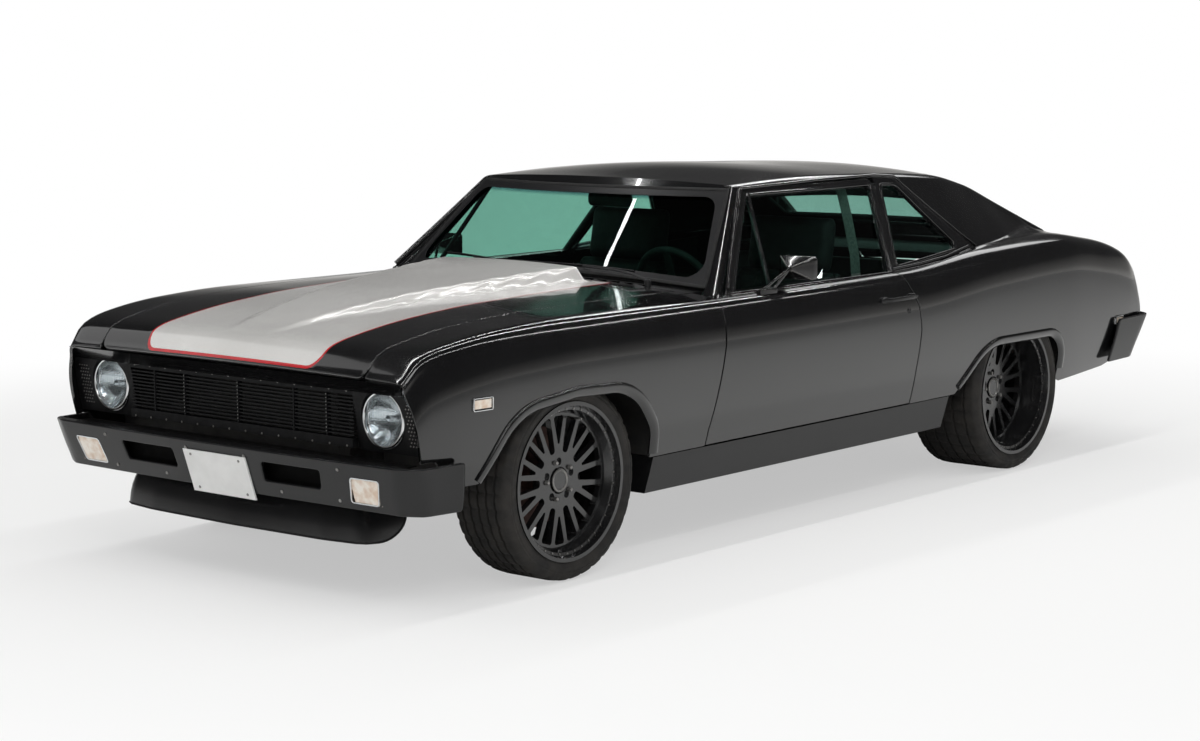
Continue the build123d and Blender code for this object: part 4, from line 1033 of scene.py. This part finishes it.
def blade_surface(rows, z_low, z_high, bulge):
    """Bent face between two outlines: u runs along it from the middle, v is the height."""
    lines = []
    for pick in (0, 2):
        half = [(row[pick] * MM, row[pick + 1] * MM, row[4] * MM) for row in rows] + [(0, 0, 0)]
        half = thinned_evenly(rounded(half, 6)[:-1], BLADE_SAMPLES)
        lines.append(np.concatenate([half[:0:-1] * (-1, 1), half]))
    top, low = lines
    run = np.concatenate([[0], np.cumsum(np.linalg.norm(np.diff((top + low) / 2, axis=0), axis=1))])
    run -= run[-1] / 2

    def surface(u, v):
        k = float(np.interp(u, run, np.arange(len(run))))
        i = min(int(k), len(run) - 2)
        a = top[i] * (1 - k + i) + top[i + 1] * (k - i)
        b = low[i] * (1 - k + i) + low[i + 1] * (k - i)
        t = (v - z_low) / (z_high - z_low)
        tangent = top[i + 1] - top[i]
        out = np.array((tangent[1], -tangent[0])) / max(np.linalg.norm(tangent), 1e-9)
        if any(out[c] * a[c] < 0 and abs(out[c]) > 0.3 for c in (0, 1)):
            out = -out
        x, y = b + (a - b) * t + out * (bulge * math.sin(math.pi * min(max(t, 0), 1)) - bulge)
        return Vector((x, y, v))
    return surface, run[-1]


def rectangle(u0, u1, v0, v1, r):
    return rounded([(u0, v0, r), (u1, v0, r), (u1, v1, r), (u0, v1, r)], 4)


def blade_sheet(rows, heights, holes=(), bulge=0.003, thick=0.010, low_corner=0.012):
    """The blade's mesh, its face as a surface, and the face's half length."""
    surface, reach = blade_surface(rows, *heights, bulge)
    u, v0, v1 = reach - 0.002, heights[0] + 0.002, heights[1] - 0.002
    rim = rounded([(-u, v0, low_corner), (u, v0, low_corner), (u, v1, 0.012), (-u, v1, 0.012)], 8)
    mesh = panel(surface, rim, holes, du=0.025, dv=0.025, thick=thick, roll=0.005, drop=0.0022, hem=thick,
                 flip=rows[0][1] > 0)
    return mesh, surface, u


def shelf_point(y, v):
    return Vector((-v, y, 0.4775))


holes = [rectangle(sign * x0, sign * x1, z0, z1, 0.010) for sign in (1, -1)
         for x0, x1, z0, z1 in ((0.215, 0.479, 0.374, 0.440), TURN_LAMP)]
blade, front_face, _ = blade_sheet(FRONT_BLADE, FRONT_Z, holes)
shelf = [(-2.402, 0.230), (-2.397, 0.480), (-2.383, 0.805), (-2.350, 0.868), (-2.337, 0.868)]
shelf += [(y, -x) for y, x in reversed(shelf)]
blade.join(panel(shelf_point, shelf, dv=0.03, thick=0.004, hem=0.004))
blade.join(both_sides(box(0.345, 0.385, -2.362, -2.200, 0.345, 0.368)))
blade.object("front_bumper_blade", "satin", replaces=["front_bumper"])
blade, rear_face, _ = blade_sheet(REAR_BLADE, REAR_Z)
blade.join(both_sides(box(0.400, 0.440, 2.3203, 2.350, 0.425, 0.455)))
blade.object("rear_bumper_blade", "satin", replaces=["rear_bumper"])
blade, chin_face, reach = blade_sheet(CHIN, CHIN_Z, bulge=0.008, low_corner=0.095)
blade.join(both_sides(box(0.345, 0.385, -2.294, -2.200, 0.296, 0.308)))
blade.object("chin_valance", "satin", replaces=["chin_spoiler"], slot="black_plastic")
lip_line = rounded([(-reach, 0.296, 0), (-reach, 0.198, 0.095), (reach, 0.198, 0.095), (reach, 0.296, 0)], 10)
lip_path = [chin_face(*q) for q in divided(lip_line, 0.04)[:-1]]
sweep(lip_path, (0, -0.6, -0.8), circle(8, 0.0035, 0.003)).object("chin_lip", "rubber", sharp=60)
# painted shade: near-black sheets behind the bumper's slots and over the gap behind it, standing in for the shadow
# there
slot_shade_outline = [(0.170, 0.345), (0.590, 0.345), (0.590, 0.4735), (0.170, 0.4735)]
gap_shade_sheets = both_sides(prism(slot_shade_outline, [(-2.338, 1), (-2.334, 1)]))
gap_shade_sheets.join(box(-0.800, 0.800, -2.340, -2.268, 0.4690, 0.4730)).object("bumper_gap_shade", "dark", sharp=30)

bolts = Mesh()
for sign in (1, -1):
    for x, z in ((0.140, 0.452), (0.560, 0.452), (0.560, 0.345), (0.290, 0.345)):
        bolts.join(bolt(front_face(sign * x, z), FRONT_LEAN, 0.005, 0.003))
    for x, z in ((0.340, 0.520), (0.640, 0.520)):
        bolts.join(bolt(rear_face(sign * x, z), (0, 1, -0.35), 0.006, 0.003))
for x, z in ((-0.118, 0.432), (0.118, 0.432), (-0.118, 0.316), (0.118, 0.316)):
    bolts.join(bolt((x, -2.364 - (z - 0.318) * 53 / 162, z), FRONT_LEAN, 0.004, 0.003))
bolts.object("bumper_bolts", "steel")

# ------------------------------------------------------------------ lamps and grille
LAMP_X, LAMP_Y, LAMP_Z = 0.668, -2.2700, 0.607
LENS_R, BOWL_R, FLUTE_R = 0.081, 0.080, 0.076
RIM_SECTION = [(-2.2780, 0.0942), (-2.2815, 0.0925), (-2.2835, 0.0885), (-2.2825, 0.0845), (-2.2790, 0.0820),
               (-2.2500, 0.0815), (-2.2480, 0.0942)]
BULB_SECTION = [(-2.2640, 0.0004), (-2.2630, 0.009), (-2.2600, 0.0125), (-2.2540, 0.013),
                (-2.2300, 0.009), (-2.2250, 0.0004)]
UPRIGHT_FLUTE = ((-0.0018, 0.004), (0.0018, 0.004), (0.0009, 0.0028), (-0.0009, 0.0028))
LEVEL_FLUTE = ((-0.0015, 0.004), (0.0015, 0.004), (0.0008, 0.0028), (-0.0008, 0.0028))


def flute(centre_x, at, section, upright):
    """Thin ridge across the inside of a lamp's lens."""
    reach = math.sqrt(max(FLUTE_R ** 2 - at * at, 0))
    rings = []
    for run in np.linspace(-reach, reach, 9):
        y = LAMP_Y + 0.001 - 0.0125 * (1 - (at * at + run * run) / 0.0066)
        spots = ((at + u, run, w) if upright else (run, at + u, w) for u, w in section)
        rings.append([Vector((centre_x + x, y + w, LAMP_Z + z)) for x, z, w in spots])
    return loft(rings)


def shell_of(profile):
    """Closed section of a thin turned shell."""
    return profile + [(y + 0.003, r) for y, r in reversed(profile)]


ring, lens, bowl, core, flutes = (Mesh() for _ in range(5))
lens_section = shell_of([(LAMP_Y - 0.0125 * (1 - (r / LENS_R) ** 2), r) for r in np.linspace(LENS_R, 0.0004, 9)])
bowl_section = shell_of([(LAMP_Y + 0.046 * (1 - (r / BOWL_R) ** 2) ** 0.9, r)
                         for r in np.linspace(BOWL_R, 0.0004, 16)])
for x in (LAMP_X, -LAMP_X):
    centre = (x, 0, LAMP_Z)
    for mesh, section, segments in ((ring, RIM_SECTION, 64), (lens, lens_section, 64), (bowl, bowl_section, 64),
                                    (core, BULB_SECTION, 32)):
        mesh.join(lathe(section, centre, segments, "Y"))
    for k in range(-6, 7):
        flutes.join(flute(x, k * 0.0125, UPRIGHT_FLUTE, True))
    for z in (-0.030, 0.0, 0.030):
        flutes.join(flute(x, z, LEVEL_FLUTE, False))
ring.object("headlamp_rings", "chrome", replaces=["headlamps"], sharp=40)
lens.object("headlamp_lenses", "lens", sharp=40)
bowl.object("headlamp_reflectors", "reflector", sharp=40)
core.object("headlamp_bulbs", "chrome", sharp=40)
flutes.object("headlamp_flutes", "lens", sharp=60)
studs = Mesh()
for x in (-0.268, 0.0, 0.423):
    for z in np.arange(0.5505, 0.674, 0.012):
        studs.join(box(x - 0.0013, x + 0.0013, -2.2945, -2.2915, z - 0.0018, z + 0.0018))
for z in (0.690, 0.512):
    for x in np.linspace(-0.52, 0.52, 14):
        studs.join(bolt((x, -2.2965, z), (0, -1, 0), 0.003, 0.002))
for sign in (1, -1):
    for column in range(4):
        for row in range(12):
            x, z = 0.778 + 0.013 * column + (0.0065 if row % 2 else 0), 0.532 + 0.012 * row
            y = -2.296 + (0.6897 - z) * 32 / 189.7 - 0.0005
            studs.join(bolt((sign * x, y, z), (0, -1, 0.15), 0.0022, 0.0025))
studs.object("grille_studs", "steel", sharp=30)
frames, tail_frames = Mesh(), Mesh()
for sign in (1, -1):
    ring = [front_face(sign * u, v) for u, v in rectangle(*TURN_LAMP, 0.010)]
    frames.join(sweep(ring, FRONT_LEAN, bar(0.005, -0.006, 0.0015, 0.001), closed=True))
    for y, z, h, w in ((-2.065, 0.654, 0.040, 0.082), (2.0825, 0.551, 0.034, 0.067)):
        ring = [hull_side(y + a, z + b) for a, b in oblong(w, h, 0.004, 2)]
        ring = [Vector((sign * q.x, q.y, q.z)) for q in ring]
        frames.join(sweep(ring, (sign, 0, 0), bar(0.004, -0.002, 0.006, 0.001), closed=True))
    ring = [Vector((sign * 0.625 + a, 2.3325, 0.640 + b)) for a, b in oblong(0.222, 0.112, 0.008, 3)]
    tail_frames.join(sweep(ring, (0, 1, 0), bar(0.009, -0.010, 0.004, 0.002), closed=True))
frames.object("lamp_frames", "chrome", sharp=40)
tail_frames.object("tail_lamp_frames", "chrome", sharp=40)

# ------------------------------------------------------------------ wheels
# end, axle's y, outer face's x, tyre width, how deep the hub sits
WHEELS = (("front", -1.600, 0.870, 0.245, 0.050), ("rear", 1.219, 0.891, 0.325, 0.112))
AXLE_Z = 0.335
TYRE_WALL = [(0.010, 0.262), (0.010, 0.2705), (0.0055, 0.2760), (0.0045, 0.2810), (0.0030, 0.2835), (0.0008, 0.2900),
             (0.0004, 0.2990), (0.0016, 0.3005), (0.0018, 0.3060), (0.0006, 0.3075), (0.0025, 0.3140), (0.0065, 0.3205)]
GROOVES, TREAD_STEPS, CUT_EVERY, CUT_DEPTH = 5, 180, 5, 0.0045
RIVETS, RIVET_R, LUGS, LUG_R = 40, 0.2445, 5, 0.064


def tyre(x_in, x_out):
    """Tyre with ribbed sidewalls, grooves and cross cuts; x grows outwards."""
    shoulder = [(0.012, 0.3275), (0.022, 0.3325)]
    tread = [(x_in + u, r) for u, r in shoulder]
    for k in range(GROOVES):
        c = x_in + 0.030 + (x_out - x_in - 0.060) * (k + 0.5) / GROOVES
        tread += [(c - 0.0055, 0.3346), (c - 0.004, 0.3270), (c + 0.004, 0.3270), (c + 0.0055, 0.3346)]
    tread += [(x_out - u, r) for u, r in reversed(shoulder)]
    profile = [(x_in + u, r) for u, r in TYRE_WALL] + tread + [(x_out - u, r) for u, r in reversed(TYRE_WALL)]
    first, last = len(TYRE_WALL) - 1, len(TYRE_WALL) + len(tread)
    rings = []
    for k, (c, s) in enumerate(circle(TREAD_STEPS, 1.0)):
        cut = 0 if k % CUT_EVERY else CUT_DEPTH
        depths = [cut if first <= i <= last and r > 0.3195 else 0 for i, (_, r) in enumerate(profile)]
        rings.append([Vector((u, (r - depth) * c, (r - depth) * s)) for (u, r), depth in zip(profile, depths)])
    return loft(rings, closed=True)


for end, axle_y, outer, width, dish in WHEELS:
    face = outer - 0.010 - dish
    trim = Mesh()
    for c, s in circle(RIVETS, RIVET_R):
        trim.join(bolt((outer - 0.0265, c, s), (1, 0, 0), 0.0030, 0.0028))
    for k in range(LUGS):
        a = math.radians(360 / LUGS * k + 18)
        trim.join(prism(circle(6, 1.0), [(face - 0.0095, 0.0085), (face + 0.008, 0.0085), (face + 0.0115, 0.006)],
                        (0, -LUG_R * math.sin(a), LUG_R * math.cos(a)), "yzx"))
    cap = [(0.004, 0.0395), (0.0065, 0.0385), (0.0075, 0.034), (0.0052, 0.031), (0.004, 0.031)]
    trim.join(lathe([(face + u, r) for u, r in cap], (0, 0, 0), 48))
    trim.join(prism(circle(8, 1.0), [(-0.010, 0.004), (0.012, 0.004), (0.013, 0.003), (0.020, 0.003)],
                    (outer - 0.034, 0.214 * math.sin(0.3), 0.214 * math.cos(0.3)), "yzx"))
    place = Matrix.Translation((0, axle_y, AXLE_Z))
    body = f"{end}_wheel_{{}}"
    pair(tyre(outer - width, outer).moved(place), f"tyre_tread_{end}", "tyre", body, [f"tyre_{end}_{{}}"], sharp=38)
    pair(trim.moved(place), f"wheel_trim_{end}", "steel", body, sharp=38)

# ------------------------------------------------------------------ mirrors, handles, wipers
path = [(0.914, 0.178, 0.7965), (0.929, 0.190, 0.797), (0.935, 0.215, 0.797), (0.9365, 0.290, 0.797),
        (0.935, 0.352, 0.797), (0.930, 0.372, 0.797), (0.915, 0.384, 0.7965)]
handle = sweep(path, (1, 0, 0), oblong(0.015, 0.007, 0.003, 2), scale=[1.2, 1.1, 1, 1.1, 1, 1.1, 1.2])
for y in (0.184, 0.378):
    handle.join(prism(oblong(0.040, 0.024, 0.009, 3), [(0.903, 1.0), (0.915, 1.0), (0.918, 0.85)],
                      (0, y, 0.7965), "yzx"))
handle.join(lathe([(0.918, 0.0004), (0.918, 0.0062), (0.925, 0.0062), (0.926, 0.0004)], (0, 0.393, 0.797), 20))
lock = [(0.902, 0.0004), (0.902, 0.0115), (0.9165, 0.0115), (0.918, 0.0095), (0.9165, 0.0085), (0.9165, 0.0004)]
handle.join(lathe(lock, (0, 0.352, 0.742), 28))
pair(handle, "door_handle", "satin", "door_{}", ["door_hardware_{}"], slot="steel", sharp=40)
MIRROR = Vector((0.886, -0.355, 0.960))
head = prism(oblong(0.152, 0.086, 0.014, 4), [
    (0.0235, 0.93), (0.025, 0.97), (0.0235, 1.0), (0.001, 1.0), (-0.003, 0.975), (-0.023, 0.58), (-0.043, 0.22),
    (-0.047, 0.12)], MIRROR)
ribs = Mesh()
for sx, sz in ((1, 1), (1, -1), (-1, 1), (-1, -1)):
    a, b = (MIRROR + Vector(q) for q in ((sx * 0.072, 0.0, sz * 0.040), (sx * 0.008, -0.0465, sz * 0.005)))
    ribs.join(sweep([a, a.lerp(b, 0.5), b], (0, -1, 0), circle(8, 0.002)))
    ribs.join(bolt(MIRROR + Vector((sx * 0.009, -0.0455, sz * 0.008)), (0, -1, 0), 0.0035, 0.003))
tip = MIRROR + Vector((-0.002, -0.042, 0))
for y in (-0.180, -0.100):
    a = Vector((0.852, MIRROR.y + y, 0.884))
    head.join(sweep([a, a.lerp(tip, 0.5), tip], (1, 0, 0), circle(12, 0.0055)))
head.join(prism(oblong(0.024, 0.100, 0.008, 3), [(0.874, 1), (0.8905, 1), (0.893, 0.9)],
                (0.8565, MIRROR.y - 0.140, 0), "xyz"))
pair(head, "mirror_head", "paint", "door_{}", slot="satin_black", sharp=40, bevel=0.001)
pair(ribs, "mirror_ribs", "steel", "door_{}", sharp=40)
glass_sheet = prism(oblong(0.136, 0.070, 0.010, 4), [(0.0240, 1), (0.0262, 1)], MIRROR)
pair(glass_sheet, "mirror_glass", "reflector", "door_{}")


def wiper(pivot_x, tip_x, lift):
    """Arm from the cowl and a blade that lies along the glass."""
    base = Vector((pivot_x, screen_y(pivot_x, 0.905) - 0.048, 0.928))
    post = [(0.900, 0.0004), (0.900, 0.013), (0.924, 0.013), (0.932, 0.009), (0.932, 0.0004)]
    mesh = lathe(post, (base.x, base.y, 0), 20, "Z")
    end = Vector((tip_x, screen_y(tip_x, lift) - 0.016, lift))
    middle = base.lerp(end, 0.45) + Vector((0, -0.004, 0.014))
    mesh.join(sweep([base, base.lerp(middle, 0.5) + Vector((0, 0, 0.006)), middle, end], (0, -0.7, 0.7),
                    oblong(0.010, 0.005, 0.002, 2), scale=[1.3, 1.1, 0.9, 0.6]))
    way = 1 if tip_x > pivot_x else -1
    path = []
    for t in np.linspace(-0.5, 0.5, 11):
        x, z = tip_x + way * (0.399 * t - 0.02), lift + 0.012 * t - 0.020 * t * t
        path.append((x, screen_y(x, z) - 0.007, z))
    return mesh.join(sweep(path, (0, -0.7, 0.7), oblong(0.005, 0.012, 0.002, 2)))


wiper(0.560, 0.230, 0.962).join(wiper(-0.060, -0.340, 0.966)).object("wipers", "plastic", sharp=40)
# painted shade: near-black pads on the cowl stand in for the shadow inside the vent openings
vent_shade = Mesh()
for k in range(9):
    x = 0.10 + 0.055 * k
    y = -0.879 + 0.087 * (x / 0.692) ** 2
    z = top_z(x, y)
    vent_shade.join(prism(oblong(0.040, 0.012, 0.005, 3), [(z - 0.003, 1), (z + 0.0012, 1)], (x, y, 0), "xyz"))
both_sides(vent_shade).object("cowl_vent_shade", "dark", sharp=40)


# ------------------------------------------------------------------ cabin
def cushion(spine, width, thick, x=0.0, channels=5, across=40):
    """Stuffed pad along a (y, z) spine, with seams along it and rounded ends."""
    groove, round_power, end_steps, look_ahead = 0.007, 2.4, 26, 0.02
    pts = np.array(spine)
    run = np.concatenate([[0], np.cumsum(np.linalg.norm(np.diff(pts, axis=0), axis=1))])

    def at(s):
        return np.array((np.interp(s, run, pts[:, 0]), np.interp(s, run, pts[:, 1])))

    rings = []
    for t in 0.5 - 0.5 * np.cos(np.linspace(0.02, math.pi - 0.02, end_steps)):
        s = t * run[-1]
        (y, z), (dy, dz) = at(s), at(s + look_ahead) - at(s - look_ahead)
        ny, nz = -dz / math.hypot(dy, dz), dy / math.hypot(dy, dz)
        edge = min(min(s, run[-1] - s) / (0.5 * thick), 1)
        k = (1 - (1 - edge) ** round_power) ** (1 / round_power)
        ring = []
        for c, q in circle(across, 1.0):
            u = math.copysign(abs(c) ** 0.42, c) * (width / 2 - thick * 0.12 * (1 - k))
            up_share = math.copysign(abs(q) ** 0.55, q)
            seam = (u / width + 0.5) * channels
            dip = groove * math.exp(-((seam - round(seam)) / 0.09) ** 2) if 0.5 < seam < channels - 0.5 else 0
            h = up_share * thick / 2 * k - (dip if up_share > 0.5 else 0)
            ring.append(Vector((x + u, y + ny * h, z + nz * h)))
        rings.append(ring)
    return loft(rings)


def shell(points, x0, x1):
    """Side outline (y, z) carried from x0 to x1."""
    return prism(points, [(x0, 1), (x1, 1)], axes="yzx")


for side, sign in SIDES:
    x = sign * 0.415
    pieces = {
        "seat_cushion": cushion([(-0.315, 0.470), (-0.15, 0.480), (0.090, 0.455)], 0.450, 0.105, x, 6),
        "seat_back": cushion([(0.235, 0.880), (0.205, 0.74), (0.165, 0.600), (0.140, 0.500)], 0.450, 0.105, x, 6),
        "head_rest": cushion([(0.285, 1.090), (0.268, 0.985), (0.246, 0.880)], 0.380, 0.095, x, 3)}
    for name, off in (("bolster_in", -0.215), ("bolster_out", 0.215)):
        pieces[name] = cushion([(0.222, 0.850), (0.182, 0.70), (0.140, 0.560)], 0.060, 0.130, x + sign * off, 1)
    for name, mesh in pieces.items():
        replaces = ["seats"] if name == "seat_cushion" else ()
        obj = mesh.object(f"{name}_{side}", "vinyl", replaces=replaces, sharp=70)
    outline = [(-0.330, 0.256), (0.140, 0.256), (0.290, 0.870), (0.262, 0.880), (0.170, 0.470), (0.10, 0.405),
               (-0.320, 0.420)]
    shell(outline, x - 0.225, x + 0.225).object(f"seat_shell_{side}", "trim", sharp=40, bevel=0.008)
for name, spine, thick in (("bench_cushion", [(0.605, 0.505), (0.78, 0.512), (0.975, 0.490)], 0.100),
                           ("bench_back", [(1.125, 0.850), (1.060, 0.700), (0.995, 0.560)], 0.095)):
    obj = cushion(spine, 1.040, thick, 0, 12, across=64).object(name, "vinyl", sharp=70)
shell([(0.600, 0.384), (0.990, 0.384), (0.990, 0.445), (0.600, 0.460)], -0.530, 0.530).object(
    "bench_base", "trim", sharp=40, bevel=0.006)
mirror = prism(oblong(0.215, 0.056, 0.020, 5), [(-0.352, 0.96), (-0.350, 1.0), (-0.362, 1.0), (-0.368, 0.9)],
               (0, 0, 1.176))
stalk = [(0, -0.364, 1.186), (0, -0.376, 1.215), (0, -0.385, 1.232)]
mirror.join(sweep(stalk, (1, 0, 0), oblong(0.012, 0.012, 0.005, 3)))
mirror.object("inside_mirror", "plastic", sharp=40)
gauges = box(-0.10, 0.10, -0.566, -0.556, 0.775, 0.830)
for x in (0.290, 0.370, 0.450):
    gauges.join(lathe([(-0.562, 0.034), (-0.557, 0.034), (-0.556, 0.031), (-0.562, 0.031)], (x, 0, 0.820), 32, "Y"))
for x in (-0.05, 0.05):
    gauges.join(lathe([(-0.560, 0.0004), (-0.560, 0.010), (-0.540, 0.009), (-0.540, 0.0004)], (x, 0, 0.802), 20, "Y"))
gauges.object("dash_trim", "steel", sharp=40)


def on_screen(z, v):
    return Vector((-v, screen_y(v, z) - 0.0035, z))


def screen_line(gap, top_r, low_r):
    """The windshield's outline drawn in by a gap, as (z, v) points."""
    low_half, high_half, top = GLASS_HALF_LOW - gap, GLASS_HALF_TOP - gap, GLASS_TOP - gap
    rows = [(GLASS_LOW + gap + 0.038 * (1 - (x / GLASS_HALF_LOW) ** 2), -x, low_r if abs(x) == low_half else 0)
            for x in np.linspace(low_half, -low_half, 17)]
    return rounded(rows + [(top, high_half, top_r), (top, -high_half, top_r)], 8)


panel(on_screen, screen_line(0.002, 0.004, 0.004), [screen_line(0.024, 0.075, 0.040)], dv=0.04, thick=0.0012,
      roll=0.0006, drop=0.0003, hem=0.002).object("windshield_border", "plastic", sharp=60)
belts = Mesh()
for sign in (1, -1):
    path = [(sign * x, y, z) for x, y, z in ((0.600, 0.335, 1.205), (0.625, 0.345, 1.10), (0.655, 0.355, 0.95),
                                             (0.665, 0.360, 0.80), (0.665, 0.350, 0.66))]
    belts.join(sweep(path, (sign, -0.3, 0), oblong(0.046, 0.003, 0.001, 2)))
belts.join(both_sides(box(0.640, 0.700, 0.325, 0.385, 0.600, 0.665)))
belts.object("seat_belts", "webbing", sharp=50)
